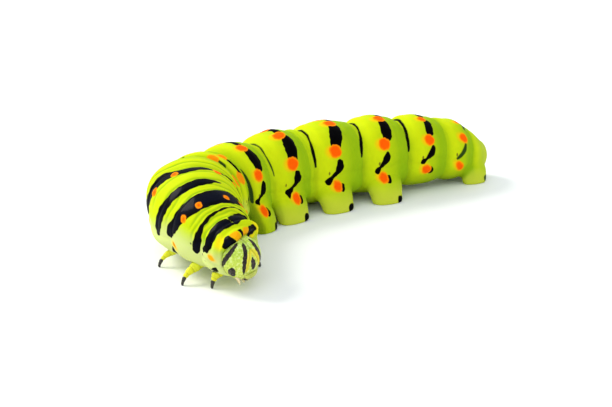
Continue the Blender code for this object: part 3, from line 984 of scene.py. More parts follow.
# %% Rows of marks on the abdomen
# For each full ring, with angles in degrees and sizes in mm: the upper orange spot, the bar, the middle
# orange spot, the hook, and the last orange spot, placed by its height over the floor instead of an angle.
ROWS = {
    5: (
        (5.54, 20, 0.58, 0.50),
        ((5.62, 31, 0.52), (5.61, 44, 0.64), (5.59, 55, 0.52)), (5.45, 66.5, 0.58, 0.54),
        ((5.58, 80, 0.27), (5.54, 87, 0.40), (5.46, 93, 0.25), (5.37, 98, 0.20), (5.28, 104, 0.30)),
        (5.37, 1.68, 0.46, 0.45),
    ),
    6: (
        (6.60, 17.5, 0.60, 0.52),
        ((6.68, 30, 0.52), (6.64, 43, 0.60), (6.60, 56, 0.52)), (6.55, 66, 0.62, 0.58),
        ((6.615, 81, 0.27), (6.62, 87.5, 0.42), (6.58, 94, 0.27), (6.52, 98, 0.20), (6.38, 106, 0.31)),
        (6.53, 1.90, 0.49, 0.47),
    ),
    7: (
        (7.64, 13, 0.60, 0.52),
        ((7.64, 26, 0.52), (7.58, 40, 0.60), (7.52, 53, 0.52)), (7.48, 63, 0.62, 0.58),
        ((7.525, 79, 0.26), (7.53, 85.5, 0.40), (7.48, 93, 0.26), (7.42, 98, 0.19), (7.31, 106.5, 0.30)),
        (7.46, 2.16, 0.50, 0.47),
    ),
    8: (
        (8.59, 15.5, 0.56, 0.50),
        ((8.60, 28, 0.46), (8.58, 40, 0.52), (8.55, 52, 0.46)), (8.46, 64, 0.58, 0.56),
        ((8.50, 80, 0.24), (8.48, 86.5, 0.36), (8.42, 93, 0.24), (8.36, 98.5, 0.18), (8.30, 104, 0.28)),
        (8.40, 2.20, 0.49, 0.46),
    ),
    9: (
        (9.54, 20, 0.42, 0.40),
        ((9.63, 31, 0.39), (9.59, 42, 0.42), (9.57, 51, 0.38)), (9.52, 64, 0.54, 0.53),
        ((9.59, 77, 0.22), (9.56, 85, 0.31), (9.49, 91, 0.21), (9.42, 95.5, 0.16), (9.34, 100, 0.24)),
        (9.43, 2.27, 0.47, 0.45),
    ),
}
print("full rows on rings", list(ROWS))


# %% Painting the rows
def flank_field(where, height, along, tall, side):
    """Signed distance to an oval spot on the flank, at a height over the floor."""
    away = np.hypot((spots[:, 0] - arc_at(where)) / along, (skin_points[:, 2] - height) / tall)
    field = (1 - away) * min(along, tall)
    return np.where(angle * side > 1.2, field, NO_MARK)


def row_of_marks(marks, side):
    """Paints one side of a full ring."""
    upper, bar, middle, hook, last = marks
    cap = ((upper[0] + 0.05, 0, 0.26), (upper[0] + 0.05, 10, 0.28))
    for path in (cap, bar, hook):
        lay("ink", stroke_field(spots, curved(mirrored(path, side))))
    lay_spots("amber", mirrored((upper, middle), side))
    where, height, along, tall = last
    beyond = where + 0.42 / RING_LENGTH[math.floor(where)]
    lay("ink", flank_field(beyond, height - 0.14, 0.34, 0.34, side))
    lay("amber", flank_field(where, height, along, tall, side))


for side in (-1, 1):
    for marks in ROWS.values():
        row_of_marks(marks, side)
print("orange on", int((PAINTS["amber"] > 0).sum()), "points")

# %% [markdown]
# The first two rings of the abdomen and the last one before the tail carry the same row, but thin and
# faint. A dark line also runs across the back in the front of four rings. Down the flanks of one more,
# where the skin comes out of the deep fold of the bend, the dark line is painted shade.

# %% Faint rows and fold lines
FAINT_INK = (
    ((4.62, 28, 0.28), (4.61, 34, 0.36), (4.60, 41, 0.38), (4.64, 48, 0.28), (4.72, 54, 0.12)),
    ((4.80, 71, 0.10), (4.84, 81, 0.18), (4.70, 92, 0.20), (4.46, 99, 0.12)),
    ((10.86, 22, 0.12), (10.77, 35, 0.17)),
)
FAINT_SOOT = (
    ((4.13, 25, 0.10), (4.10, 31, 0.13), (4.07, 37, 0.12), (3.76, 44, 0.10), (3.60, 50, 0.06)),
    ((3.62, 74, 0.08), (3.64, 84, 0.14), (3.50, 94, 0.12)),
    ((10.64, 72, 0.13), (10.61, 81, 0.19), (10.50, 92, 0.17), (10.36, 100, 0.12)),
)
FAINT_AMBER = (
    (4.60, 21, 0.62, 0.52), (4.50, 61, 0.60, 0.54), (3.62, 60, 0.70, 0.50),
    (4.30, 112, 0.30, 0.30), (3.34, 112, 0.28, 0.28), (10.62, 19, 0.24, 0.26), (10.60, 59, 0.48, 0.46),
    (10.45, 114, 0.50, 0.44),
)
# Station, degrees and half width along dark lines in the folds between rings. The line on ring 5, low in the
# deep fold of the bend, is painted shade.
FOLD_LINES = {
    6: ((6.20, 0, 0.06), (6.18, 20, 0.08), (6.12, 38, 0.11), (6.10, 56, 0.11), (6.10, 74, 0.06)),
    7: ((7.22, 0, 0.07), (7.20, 20, 0.09), (7.14, 40, 0.13), (7.10, 60, 0.16), (7.09, 79, 0.08)),
    8: ((8.16, 0, 0.07), (8.13, 23, 0.09), (8.07, 42, 0.13), (8.01, 60, 0.16), (7.98, 78, 0.09)),
    9: ((9.11, 0, 0.08), (9.08, 27, 0.10), (9.03, 56, 0.14), (9.00, 80, 0.07)),
    5: ((5.03, 48, 0.05), (5.04, 62, 0.14), (5.04, 78, 0.20), (5.06, 92, 0.22), (5.11, 103, 0.14)),
}
BLACK_FOLDS = (7, 8, 9)
EDGE_SHIFT = 0.02
for side in (-1, 1):
    for paint, paths in (("ink", FAINT_INK), ("dark_mark_and_fold_shade", FAINT_SOOT)):
        for path in paths:
            lay(paint, stroke_field(spots, curved(mirrored(path, side))))
    for where, degrees, along, around in mirrored(FAINT_AMBER, side):
        lay("amber", spot_field(spots, where, degrees, along, around) - EDGE_SHIFT)
    for ring, path in FOLD_LINES.items():
        line = stroke_field(spots, curved(mirrored(path, side)))
        lay("dark_mark_and_fold_shade", line + EDGE_SHIFT)
        if ring in BLACK_FOLDS:
            lay("ink", line)
print("faint marks on", int((PAINTS["dark_mark_and_fold_shade"] > 0).sum()), "points")

# %% [markdown]
# Each soft foot carries a dark spot on its outer side, and along each flank lies a row of breathing
# holes, small brown ovals. The spots on the feet are placed in space, because the feet stand out from
# the chart.


# %% Spots on the soft feet, and breathing holes
def ball_field(points, centre, radius):
    """Signed distance to a ball, positive inside."""
    return radius - np.linalg.norm(points - centre, axis=1)


for where, side, _ in stumps:
    if where < LAST_RING:
        rear = beside(where + 1.12 / RING_LENGTH[int(where)], side * 4.42, 0.28)
        lay("ink", ball_field(skin_points, rear, 0.46))
    else:
        lay("dark_mark_and_fold_shade", ball_field(skin_points, beside(where + 0.50, side * 2.50, 0.45), 0.34))
HOLES = [(0.86, 96, 0.075, 0.13)] + [(ring + 0.33, 93, 0.075, 0.13) for ring in range(3, 11)]
for side in (-1, 1):
    lay_spots("breath", mirrored(HOLES, side))
print("breathing holes", 2 * len(HOLES))


# %% [markdown]
# ## Softer differences of colour
# The green itself isn't even. It is more yellow on the front half of a ring and on every roll, greener
# behind, in creases and towards the tail, and pale and milky low on the first rings. The yellow on the
# swells and rolls is partly painted highlight, and the green in creases and low in the bend is painted
# shade. These soft differences are stored as shares from 0 to 1.

# %% Shares for the softer colours
ring_number = np.clip(np.floor(station), 0, RINGS - 1)
share_of_ring = station - ring_number
degrees_round = np.abs(signed_degrees)
height = skin_points[:, 2]
behind = ramp(share_of_ring, 0.58, 0.86) + 0.35 * (1 - ramp(share_of_ring, 0.0, 0.16))
# Greener towards the tail is the skin's own colour. Greener on the back of each ring is partly its own colour
# and partly painted shade. The green in the creases, just behind each fold, low on the flanks of the bend and
# in the neck fold is painted shade.
greener_and_fold_shade = np.maximum(behind * ramp(station, 3.0, 4.5) * 0.8, ramp(creased, 0.02, 0.085) * 0.9)
greener_and_fold_shade += 0.20 * ramp(station, 9.6, 12.0) + 0.25 * ramp(degrees_round, 80, 130) * ramp(station, 4, 6)
neck_shade = (1 - ramp(station, 0.03, 0.14)) * window(degrees_round, (62, 72), (96, 112))
greener_and_fold_shade = np.maximum(np.clip(greener_and_fold_shade, 0, 1), neck_shade)
raised = 17 * (1 - ramp(station, 1.9, 2.7))
pale = ramp(degrees_round + raised, 79, 112) * (1 - ramp(station, 3.2, 5.0))
pale *= 1 - 0.3 * ramp(degrees_round, 130, 170)
pale = np.maximum(pale, 0.35 * ramp(degrees_round, 150, 175))
# Yellow on the swell of each ring, fading towards the underside, is partly the skin's own colour and partly
# painted highlight. On the rolls behind the head it is painted highlight between the creases.
glow = hump(share_of_ring, 0.28, 0.24) * (1 - ramp(degrees_round, 110, 150))
glow = np.where(station < 3, ramp(0.05 - creased, 0.0, 0.05) * 0.8 * (1 - pale), glow)
glow = np.clip(glow, 0, 1)
print("greenest share", round(float(greener_and_fold_shade.mean()), 2), "palest", round(float(pale.mean()), 2))

# %% Yellow round the orange spots, and on the collar
# Station, degrees and half width of the yellow patches low on the first rings.
LOW_YELLOW = ((0.38, -91, 0.34), (0.42, 99, 0.34), (1.81, -108, 0.48), (2.72, -112, 0.48), (2.72, 112, 0.48))


def grown(table, ahead, longer, wider):
    """The same oval spots, moved ahead a little and made larger."""
    return [
        (where - ahead, degrees, along + longer, around + wider)
        for where, degrees, along, around in table
    ]


for side in (-1, 1):
    for upper, _, middle, _, (where, level, along, tall) in ROWS.values():
        lay_spots("flare", mirrored(grown((upper, middle), 0.05, 0.20, 0.10), side))
        lay("flare", flank_field(where - 0.04, level + 0.08, along + 0.18, tall + 0.16, side))
    lay_spots("flare", mirrored(grown(FAINT_AMBER, 0.04, 0.22, 0.14), side))
lay_spots("flare", [(where, degrees, wide, wide * 0.92) for where, degrees, wide in LOW_YELLOW])
right_crest = (1 - ramp(np.abs(station - 0.20), 0.07, 0.20)) * ramp(-signed_degrees, 38, 54)
right_crest *= 1 - ramp(degrees_round, 62, 76)
left_crest = (1 - ramp(np.abs(station - 0.38), 0.06, 0.18)) * (1 - ramp(np.abs(signed_degrees - 50), 8, 22))
collar_sun = np.clip(right_crest + 0.8 * left_crest, 0, 1)
honey = 1 - ramp(station, 0.7, 0.9) + 0.6 * window(station, (3.1, 3.4), (4.95, 5.1))
print("yellow on", int((PAINTS["flare"] > 0).sum()), "points")

# %% Shaded folds and straw-coloured feet
FOLDS_BETWEEN = (6.10, 7.10, 8.01, 9.01)
shade = (1 - ramp(height, 0.5, 1.9)) * ramp(degrees_round, 112, 134) * ramp(station, 3.6, 5.0)
shade *= 0.6 * (1 - 0.7 * ramp(out, 1.05, 1.22))
in_bend = window(station, (4.3, 4.9), (5.08, 5.3)) * ramp(degrees_round, 60, 100)
shade = np.maximum(shade, 0.75 * in_bend)
shade = np.maximum(shade, 0.50 * ramp(creased, 0.055, 0.115) * (1 - ramp(station, 4.6, 5.2)))
for where in FOLDS_BETWEEN:
    in_fold = hump(station, where, 0.26 / 4.1) * window(degrees_round, (68, 88), (128, 150))
    shade = np.maximum(shade, 0.42 * in_fold)
toe = ramp(out, 1.06, 1.24) * (1 - ramp(height, 0.3, 2.2)) * ramp(station, 5.2, 6.2)
toe = np.maximum(toe, 0.8 * ramp(station, 11.0, 12.2))
print("shaded share", round(float(shade.mean()), 2), "straw", round(float(toe.mean()), 2))


# %% Storing the shares on the skin
def store(data, name, values):
    """Keeps one number for each point of a mesh."""
    layer = data.attributes.new(name, "FLOAT", "POINT")
    layer.data.foreach_set("value", np.asarray(values, np.float32))


def made_object(name, data):
    """Puts a mesh in the scene as an object with smooth shading."""
    data.shade_smooth()
    made = bpy.data.objects.new(name, data)
    bpy.context.scene.collection.objects.link(made)
    return made


arc, wrap = spots.T
ruffled = 0.02 * np.sin(wrap * 9 + 3 * np.sin(arc * 4)) + 0.014 * np.sin(arc * 17 + wrap * 5)
for paint in ("ink", "amber"):
    PAINTS[paint] = PAINTS[paint] + ruffled
skin_mesh.vertices.foreach_set("co", (skin_points * MM).ravel())
skin_mesh.update()
SHARES = {
    "greener_and_fold_shade": greener_and_fold_shade, "pale": pale, "glow": glow, "collar_sun": collar_sun, "honey": honey, "shade": shade,
    "toe": toe, "arc": arc, "wrap": wrap, "station": station,
}
for name, values in (PAINTS | SHARES).items():
    store(skin_mesh, name, values)
skin = made_object("larva_skin", skin_mesh)
print("stored on the skin", list(PAINTS), list(SHARES))

# %% [markdown]
# ## A node group for fine skin
# Insect skin is covered with tiny granules and with wrinkles that run round the body. The trunk, the head
# and the legs all share it at different sizes, so it is one node group. It gives out a height and a
# mottle, both plain numbers, and each material decides what to do with them.


# %% Fine skin group
def fine_skin_group():
    """Granules and wrinkles. Along and Round are millimetres, or any other pair of coordinates."""
    group = bpy.data.node_groups.new("fine_skin", "ShaderNodeTree")
    face = group.interface
    for name, value in (("Granule Scale", 9000.0), ("Wrinkle Scale", 5.0), ("Wrinkle Share", 0.5)):
        face.new_socket(name, in_out="INPUT", socket_type="NodeSocketFloat").default_value = value
    for name, way in (("Along", "INPUT"), ("Round", "INPUT"), ("Height", "OUTPUT"), ("Mottle", "OUTPUT")):
        face.new_socket(name, in_out=way, socket_type="NodeSocketFloat")
    into = group.nodes.new("NodeGroupInput")
    back = group.nodes.new("NodeGroupOutput")
    where = add(group, "ShaderNodeTexCoord").outputs["Object"]
    granules = add(group, "ShaderNodeTexVoronoi", {"feature": "SMOOTH_F1"}, Vector=where,
                   Scale=into.outputs["Granule Scale"], Smoothness=0.6).outputs["Distance"]
    domes = math_node(group, "SUBTRACT", 1.0, granules)
    stretched = math_node(group, "MULTIPLY", into.outputs["Round"], 0.22)
    lie = add(group, "ShaderNodeCombineXYZ", X=into.outputs["Along"], Y=stretched).outputs[0]
    wrinkles = add(group, "ShaderNodeTexNoise", Vector=lie, Scale=into.outputs["Wrinkle Scale"], Detail=4.0,
                   Roughness=0.55).outputs["Fac"]
    rolled = math_node(group, "MULTIPLY", wrinkles, into.outputs["Wrinkle Share"])
    height = math_node(group, "MULTIPLY_ADD", domes, 0.35, rolled)
    group.links.new(height, back.inputs["Height"])
    group.links.new(clouds_of(group, 1400.0, 3.0, Roughness=0.6), back.inputs["Mottle"])
    return group


FINE_SKIN = fine_skin_group()
print("group", FINE_SKIN.name, "has", [socket.name for socket in FINE_SKIN.interface.items_tree])


def use_fine_skin(tree, granules, wrinkles, share, along=None, around=None):
    """Places the group in a material. Returns its height and mottle."""
    node = tree.nodes.new("ShaderNodeGroup")
    node.node_tree = FINE_SKIN
    node.inputs["Granule Scale"].default_value = granules
    node.inputs["Wrinkle Scale"].default_value = wrinkles
    node.inputs["Wrinkle Share"].default_value = share
    if along is not None:
        tree.links.new(along, node.inputs["Along"])
        tree.links.new(around, node.inputs["Round"])
    return node.outputs["Height"], node.outputs["Mottle"]


# %% [markdown]
# ## The skin's material
# Living green skin lets light in a little way and scatters it, so its shadows stay warm and bright. Black
# parts don't. The base colour is built in layers, from the broad green differences, with painted highlight
# and painted shade among them, to the orange and black on top, and the black bands carry a faint painted
# blue sheen.

# %% Skin material
LIME = (0.39, 0.53, 0.005)
LEAF = (0.26, 0.43, 0.005)
LEMON = (0.58, 0.68, 0.005)
MILK = (0.58, 0.65, 0.21)
MOSS = (0.024, 0.055, 0.007)
ORANGE = (0.97, 0.110, 0.001)
SUNNY = (0.92, 0.50, 0.004)
BLACK = (0.0010, 0.0009, 0.0012)
# Painted blue sheen on the black bands.
BLUE_SHEEN = (0.0015, 0.0025, 0.010)
HONEY = (0.80, 0.36, 0.004)
YOLK = (0.88, 0.66, 0.010)
OLIVE = (0.085, 0.125, 0.004)
STRAW = (0.56, 0.62, 0.045)
HOLE_BROWN = (0.10, 0.05, 0.01)
PALE_ORANGE = (0.96, 0.27, 0.002)


def skin_material():
    """Yellow-green living skin with black and orange marks."""
    made, tree, shader = new_material("living_skin")
    height, mottle = use_fine_skin(tree, 8500.0, 3.2, 0.7, painted(tree, "arc"), painted(tree, "wrap"))
    ruffle = math_node(tree, "MULTIPLY_ADD", mottle, 0.10, -0.05)
    uneven = math_node(tree, "MULTIPLY_ADD", mottle, 0.5, -0.25)
    deep = math_node(tree, "MULTIPLY_ADD", uneven, 0.5, painted(tree, "shade"), clamp=True)
    # Lemon yellow on the swells and rolls, partly painted highlight.
    green = blend_colours(tree, painted(tree, "glow"), LIME, LEMON)
    for mask, tint in (
        # Leaf green: the skin's greener parts, with painted shade in the creases and the bend.
        (math_node(tree, "ADD", painted(tree, "greener_and_fold_shade"), uneven, clamp=True), LEAF),
        (painted(tree, "pale"), MILK),
        (between(tree, painted(tree, "flare"), -0.10, 0.35, 0.0, 0.85), SUNNY),
        (math_node(tree, "MULTIPLY", painted(tree, "collar_sun"), 0.9), YOLK),
        (math_node(tree, "MULTIPLY", painted(tree, "toe"), 0.9), STRAW),
        (math_node(tree, "MULTIPLY", deep, painted(tree, "shade")), OLIVE),
        # Moss green for the faint dark marks and fold lines, and as painted shade in the fold of the bend.
        (between(tree, math_node(tree, "ADD", painted(tree, "dark_mark_and_fold_shade"), ruffle), -0.07, 0.06), MOSS),
        (between(tree, painted(tree, "breath"), -0.05, 0.01, 0.0, 0.8), HOLE_BROWN),
    ):
        green = blend_colours(tree, mask, green, tint)
    black_mask = between(tree, math_node(tree, "ADD", painted(tree, "ink"), ruffle), -0.03, 0.03)
    # A faint painted blue sheen in the black bands of the first rings.
    blue_sheen_mask = between(tree, math_node(tree, "ADD", painted(tree, "ink"), mottle), 0.55, 0.95, 0.0, 0.8)
    thorax = between(tree, painted(tree, "station"), 2.6, 3.4, 1.0, 0.0)
    dark = blend_colours(tree, math_node(tree, "MULTIPLY", blue_sheen_mask, thorax), BLACK, BLUE_SHEEN)
    colour = blend_colours(tree, black_mask, green, dark)
    spot_mask = between(tree, math_node(tree, "ADD", painted(tree, "amber"), ruffle), -0.04, 0.05)
    tone = between(tree, math_node(tree, "MULTIPLY_ADD", uneven, 0.4, painted(tree, "amber")), 0.02, 0.21)
    warm = blend_colours(tree, tone, PALE_ORANGE, ORANGE)
    warm = blend_colours(tree, painted(tree, "honey"), warm, HONEY)
    colour = blend_colours(tree, spot_mask, colour, warm)
    link(tree, colour, shader, "Base Color")
    only_black = math_node(tree, "SUBTRACT", black_mask, spot_mask, clamp=True)
    rough = math_node(tree, "MULTIPLY_ADD", only_black, -0.12, 0.46)
    link(tree, math_node(tree, "MULTIPLY_ADD", mottle, 0.16, rough), shader, "Roughness")
    gloss = math_node(tree, "MULTIPLY", math_node(tree, "MULTIPLY", only_black, thorax), 0.05)
    link(tree, gloss, shader, "Coat Weight")
    shader.inputs["Coat Roughness"].default_value = 0.12
    shader.inputs["Specular IOR Level"].default_value = 0.012
    roughen(tree, shader, height, 0.38, 0.00004)
    let_light_in(shader, 0.22, (0.6, 0.8, 0.15), 0.0006)
    return made


skin.data.materials.clear()
skin.data.materials.append(skin_material())
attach(skin, "root")
SOFT_NODES = RING_NAMES + ["proleg_%d_%s" % (k, side) for k in (3, 4, 5, 6) for side in ("left", "right")]
SOFT_NODES += ["anal_proleg_left", "anal_proleg_right"]
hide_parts(*SOFT_NODES)
print("the skin stands for", len(SOFT_NODES), "solids")

# %% [markdown]
# ## The head shell
# A larva's head is a hard capsule: two rounded cheeks that meet in a seam, and between them a small
# three-cornered plate above the mouth. It could be modelled by hand from a ball. Here the ball is only a
# set of directions, and a formula says how far the shell lies in each of them, so every groove and stripe
# can be placed by two angles: how far round from the middle of the face, and how far up.

# %% Head values
HEAD_HALF = np.array((1.43, 1.20, 1.50))
HEAD_SEAT = Matrix.Translation((-0.31, -0.11, 2.26))
HEAD_TURN = math.radians(6)
HEAD_NOD = math.radians(4)
HEAD_ROLL = math.radians(-6)
NECK_FRAME = Matrix.Translation((NECK[0], NECK[1], 0)) @ Matrix.Rotation(NECK_HEADING - math.pi / 2, 4, "Z")
HEAD_TILT = Matrix.Rotation(HEAD_NOD, 4, "X") @ Matrix.Rotation(HEAD_ROLL, 4, "Y")
HEAD_FRAME = NECK_FRAME @ HEAD_SEAT @ Matrix.Rotation(HEAD_TURN, 4, "Z") @ HEAD_TILT
HEAD_ARRAY = np.array(HEAD_FRAME)


def into_place(points):
    """Carries points from the head's own axes, where the face looks along -Y, to the larva."""
    return points @ HEAD_ARRAY[:3, :3].T + HEAD_ARRAY[:3, 3]


def head_smooth(azimuth, slope, grow=0.0):
    """The shell without its grooves, by angles in radians. Azimuth and slope are 0 in mid-face."""
    side = np.cos(slope) * np.sin(azimuth)
    front = np.cos(slope) * np.cos(azimuth)
    up = np.sin(slope)
    cleft = 0.10 * hump(side, 0, 0.17) * np.maximum(0, up) ** 0.8
    flat_face = 0.10 * np.maximum(0, front) ** 2 * (1 - 0.5 * np.abs(side))
    narrowing = 1 - 0.16 * np.maximum(0, -up) ** 1.5
    cheek = 1 + 0.018 * hump(np.abs(azimuth), 0.95, 0.5) * hump(slope, -0.1, 0.5)
    hollow = 1 - 0.09 * hump(np.abs(azimuth), 1.9, 0.62) * hump(slope, 0.85, 0.40)
    scale = (1 - cleft) * cheek * hollow
    return np.stack(
        (
            (HEAD_HALF[0] * scale * narrowing + grow) * side,
            -(HEAD_HALF[1] * scale * (1 - flat_face) + grow) * front,
            (HEAD_HALF[2] * scale + grow) * up,
        ),
        -1,
    )


def space_field(points, path, widths):
    """Signed distance in space to a stroke, positive inside."""
    field = np.full(len(points), NO_MARK)
    for k in range(len(path) - 1):
        share, gap = nearest_on_line(points, path[k], path[k + 1])
        field = np.maximum(field, widths[k] + (widths[k + 1] - widths[k]) * share - gap)
    return field


def field_on_head(points, paths):
    """Signed distance to smooth strokes on the shell, given by azimuth, slope and half width."""
    field = np.full(len(points), NO_MARK)
    for path in paths:
        fine = curved(path, 6)
        corners = head_smooth(np.radians(fine[:, 0]), np.radians(fine[:, 1]))
        field = np.maximum(field, space_field(points, corners, fine[:, 2]))
    return field


print("head", 2 * HEAD_HALF.round(2), "mm wide, long and high")

# %% Marks of the head
# Azimuth and slope in degrees, half width in mm. Where a mark has a twin, only the left one is given.
CHEEK_STRIPE = (
    (63, 62, 0.07), (67, 56, 0.12), (75, 47, 0.165), (81, 36, 0.185), (89, 24, 0.185), (99, 9, 0.18),
    (112, -7, 0.15),
)
FACE_STRIPE = (
    (27, 61, 0.06), (26, 55, 0.11), (25, 44, 0.145), (25, 31, 0.15), (28, 19, 0.15), (31, 6, 0.145),
    (33, -8, 0.13), (36, -26, 0.05),
)
FACE_DOT = ((-1, 11, 0.07), (-2, 3, 0.165), (0, -7, 0.215), (1, -16, 0.17))
PLATE_EDGE = ((0, 44, 0.0), (5, 34, 0.0), (12, 18, 0.0), (18, 2, 0.0), (24, -14, 0.0), (29, -27, 0.0))
PLATE_GLOW = ((2, 33, 0.10), (8, 26, 0.16), (15, 16, 0.19), (20, 5, 0.17), (23, -7, 0.14), (26, -18, 0.08))
CROWN_SEAM = ((0, 88, 0.0), (0, 70, 0.0), (0, 46, 0.0))
LIP_SEAM = ((-34, -24, 0.0), (-18, -30, 0.0), (0, -33, 0.0), (18, -30, 0.0), (34, -24, 0.0))
EYE_PATCH = ((69, -9, 0.19), (74, -18, 0.26), (79, -28, 0.23))
BASE_BROWN = ((-30, -36, 0.06), (0, -42, 0.10), (30, -36, 0.06))
print("stripe down the cheek", len(CHEEK_STRIPE), "corners, down the face", len(FACE_STRIPE))


# %% The grooved shell
def on_both_sides(*paths):
    """The paths, and the same ones on the other side of the face."""
    both = []
    for path in paths:
        both += [path, [(-azimuth, slope, wide) for azimuth, slope, wide in path]]
    return both


def head_shell():
    """The grooved shell, with its marks stored on it."""
    mesh = bmesh.new()
    bmesh.ops.create_icosphere(mesh, subdivisions=7, radius=1.0)
    data = bpy.data.meshes.new("head_shell")
    mesh.to_mesh(data)
    mesh.free()
    ways = mesh_points(data)
    slope = np.arcsin(np.clip(ways[:, 2], -1, 1))
    azimuth = np.arctan2(ways[:, 0], -ways[:, 1])
    points = head_smooth(azimuth, slope)
    grooves = field_on_head(points, on_both_sides(PLATE_EDGE) + [CROWN_SEAM, LIP_SEAM])
    ink = field_on_head(points, on_both_sides(CHEEK_STRIPE, FACE_STRIPE, EYE_PATCH) + [FACE_DOT])
    glow = field_on_head(points, on_both_sides(PLATE_GLOW))
    brown = field_on_head(points, [BASE_BROWN])
    level = np.degrees(slope)
    plate = np.abs(np.degrees(azimuth)) < 2 + np.clip((46 - level) * 0.42, 0, 40)
    plate = plate * window(level, (-34, -26), (40, 50))
    grow = 0.012 * hump(ink, 0.05, 0.12) - 0.045 * hump(grooves, 0, 0.045) - 0.018 * plate
    points = head_smooth(azimuth, slope, grow)
    across, _, up = points.T
    ruffled = 0.012 * np.sin(up * 19 + 4 * across) + 0.010 * np.sin(across * 31 + up * 13)
    data.vertices.foreach_set("co", (into_place(points) * MM).ravel())
    data.update()
    for name, values in (
        ("ink", ink + ruffled), ("glow", glow), ("groove", grooves), ("brown", brown), ("level", level),
        ("arc", across), ("wrap", up),
    ):
        store(data, name, values)
    return made_object("head_shell", data)


head_piece = head_shell()
print("head shell", len(head_piece.data.vertices), "points")


# %% Head material
def head_material():
    """Pale green-yellow horn, finely pitted, with brown-black stripes."""
    made, tree, shader = new_material("head_shell")
    height, mottle = use_fine_skin(tree, 13000.0, 9.0, 0.25, painted(tree, "arc"), painted(tree, "wrap"))
    uneven = math_node(tree, "MULTIPLY_ADD", mottle, 0.8, -0.4)
    rise = between(tree, painted(tree, "level"), -30.0, 60.0)
    base = blend_colours(tree, rise, (0.60, 0.64, 0.10), (0.44, 0.64, 0.075))
    base = blend_colours(tree, math_node(tree, "ADD", 0.45, uneven, clamp=True), base, (0.54, 0.68, 0.06))
    freckles = clouds_of(tree, 6200.0, 2.0, Roughness=0.5)
    golden = math_node(tree, "MULTIPLY_ADD", uneven, 0.1, painted(tree, "glow"))
    for mask, tint in (
        (between(tree, freckles, 0.50, 0.64, 0.0, 0.60), (0.74, 0.82, 0.36)),
        (between(tree, freckles, 0.34, 0.46, 0.55, 0.0), (0.28, 0.40, 0.05)),
        (between(tree, golden, -0.10, 0.06, 0.0, 0.8), (0.80, 0.66, 0.012)),
        # Dusky green along the grooves and seams is painted shade.
        (between(tree, painted(tree, "groove"), -0.07, -0.01, 0.0, 0.38), (0.20, 0.24, 0.03)),
        (between(tree, painted(tree, "brown"), -0.10, 0.08, 0.0, 0.55), (0.30, 0.19, 0.04)),
    ):
        base = blend_colours(tree, mask, base, tint)
    ruffle = math_node(tree, "MULTIPLY_ADD", mottle, 0.09, -0.045)
    black = between(tree, math_node(tree, "ADD", painted(tree, "ink"), ruffle), -0.022, 0.022)
    brown_share = between(tree, freckles, 0.42, 0.64)
    dark = blend_colours(tree, brown_share, (0.006, 0.004, 0.004), (0.046, 0.026, 0.020))
    link(tree, blend_colours(tree, black, base, dark), shader, "Base Color")
    link(tree, math_node(tree, "MULTIPLY_ADD", mottle, 0.22, 0.30), shader, "Roughness")
    shader.inputs["Specular IOR Level"].default_value = 0.22
    roughen(tree, shader, height, 0.45, 0.00003)
    let_light_in(shader, 0.12, (0.7, 0.8, 0.3), 0.0004)
    return made


head_piece.data.materials.append(head_material())
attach(head_piece, "root")
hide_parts("head")
print("head material done")

# %% [markdown]
# ## Simple eyes
# A larva sees with six glassy beads on each cheek, five in an arc and one inside it. They are set into
# the shell as separate domes, because glass that is only painted on never catches the light from the
# right place.


# %% Simple eyes
BEAD_RINGS = 8
BEAD_AROUND = 16
BEAD_RADIUS = 0.058
BEAD_HEIGHT = 0.75


def bead(centre, out):
    """Points and faces of a closed dome that looks along out."""
    out = out / np.linalg.norm(out)
    side = np.cross(out, (0.0, 0.0, 1.0))
    side = side / np.linalg.norm(side)
    rise = np.cross(side, out)
    points = [centre + out * BEAD_RADIUS * BEAD_HEIGHT]
    for row in range(1, BEAD_RINGS + 1):
        lean = math.pi * 0.72 * row / BEAD_RINGS
        middle = centre + out * BEAD_RADIUS * BEAD_HEIGHT * math.cos(lean)
        for k in range(BEAD_AROUND):
            turn = 2 * math.pi * k / BEAD_AROUND
            flat = side * math.cos(turn) + rise * math.sin(turn)
            points.append(middle + flat * BEAD_RADIUS * math.sin(lean))
    faces = [(0, 1 + k, 1 + (k + 1) % BEAD_AROUND) for k in range(BEAD_AROUND)]
    for row in range(BEAD_RINGS - 1):
        low = 1 + row * BEAD_AROUND
        for k in range(BEAD_AROUND):
            after = (k + 1) % BEAD_AROUND
            faces.append((low + k, low + BEAD_AROUND + k, low + BEAD_AROUND + after, low + after))
    last = 1 + (BEAD_RINGS - 1) * BEAD_AROUND
    faces.append(tuple(last + k for k in range(BEAD_AROUND))[::-1])
    return np.array(points), faces


def gathered(name, parts):
    """One object, in metres, from several lists of points and faces in millimetres."""
    return made_object(name, joined_mesh(name, parts, MM))


# Azimuth and slope in degrees: an arc of five beads, and one inside it.
EYE_BEADS = [(74 + 6.5 * math.sin(math.radians(36 * k)), -11 - 5.2 * k) for k in range(5)] + [(71, -23)]


def eye_beads():
    """All twelve beads in one object."""
    parts = []
    for side in (-1, 1):
        for azimuth, slope in EYE_BEADS:
            here = (math.radians(side * azimuth), math.radians(slope))
            centre = into_place(head_smooth(*here, 0.004)[None])[0]
            out = into_place(head_smooth(*here, 0.3)[None])[0] - centre
            parts.append(bead(centre, out))
    return gathered("simple_eyes", parts)


def glass_bead_material():
    """Brown-black glass, a little amber inside."""
    made, tree, shader = new_material("eye_bead")
    clouds = clouds_of(tree, 16000.0, 2.0)
    amber_glass = blend_colours(tree, clouds, (0.006, 0.004, 0.003), (0.070, 0.030, 0.010))
    link(tree, amber_glass, shader, "Base Color")
    link(tree, math_node(tree, "MULTIPLY_ADD", clouds, 0.06, 0.05), shader, "Roughness")
    shader.inputs["Coat Weight"].default_value = 0.7
    return made


eyes = eye_beads()
eyes.data.materials.append(glass_bead_material())
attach(eyes, "root")
print("simple eyes", 2 * len(EYE_BEADS))

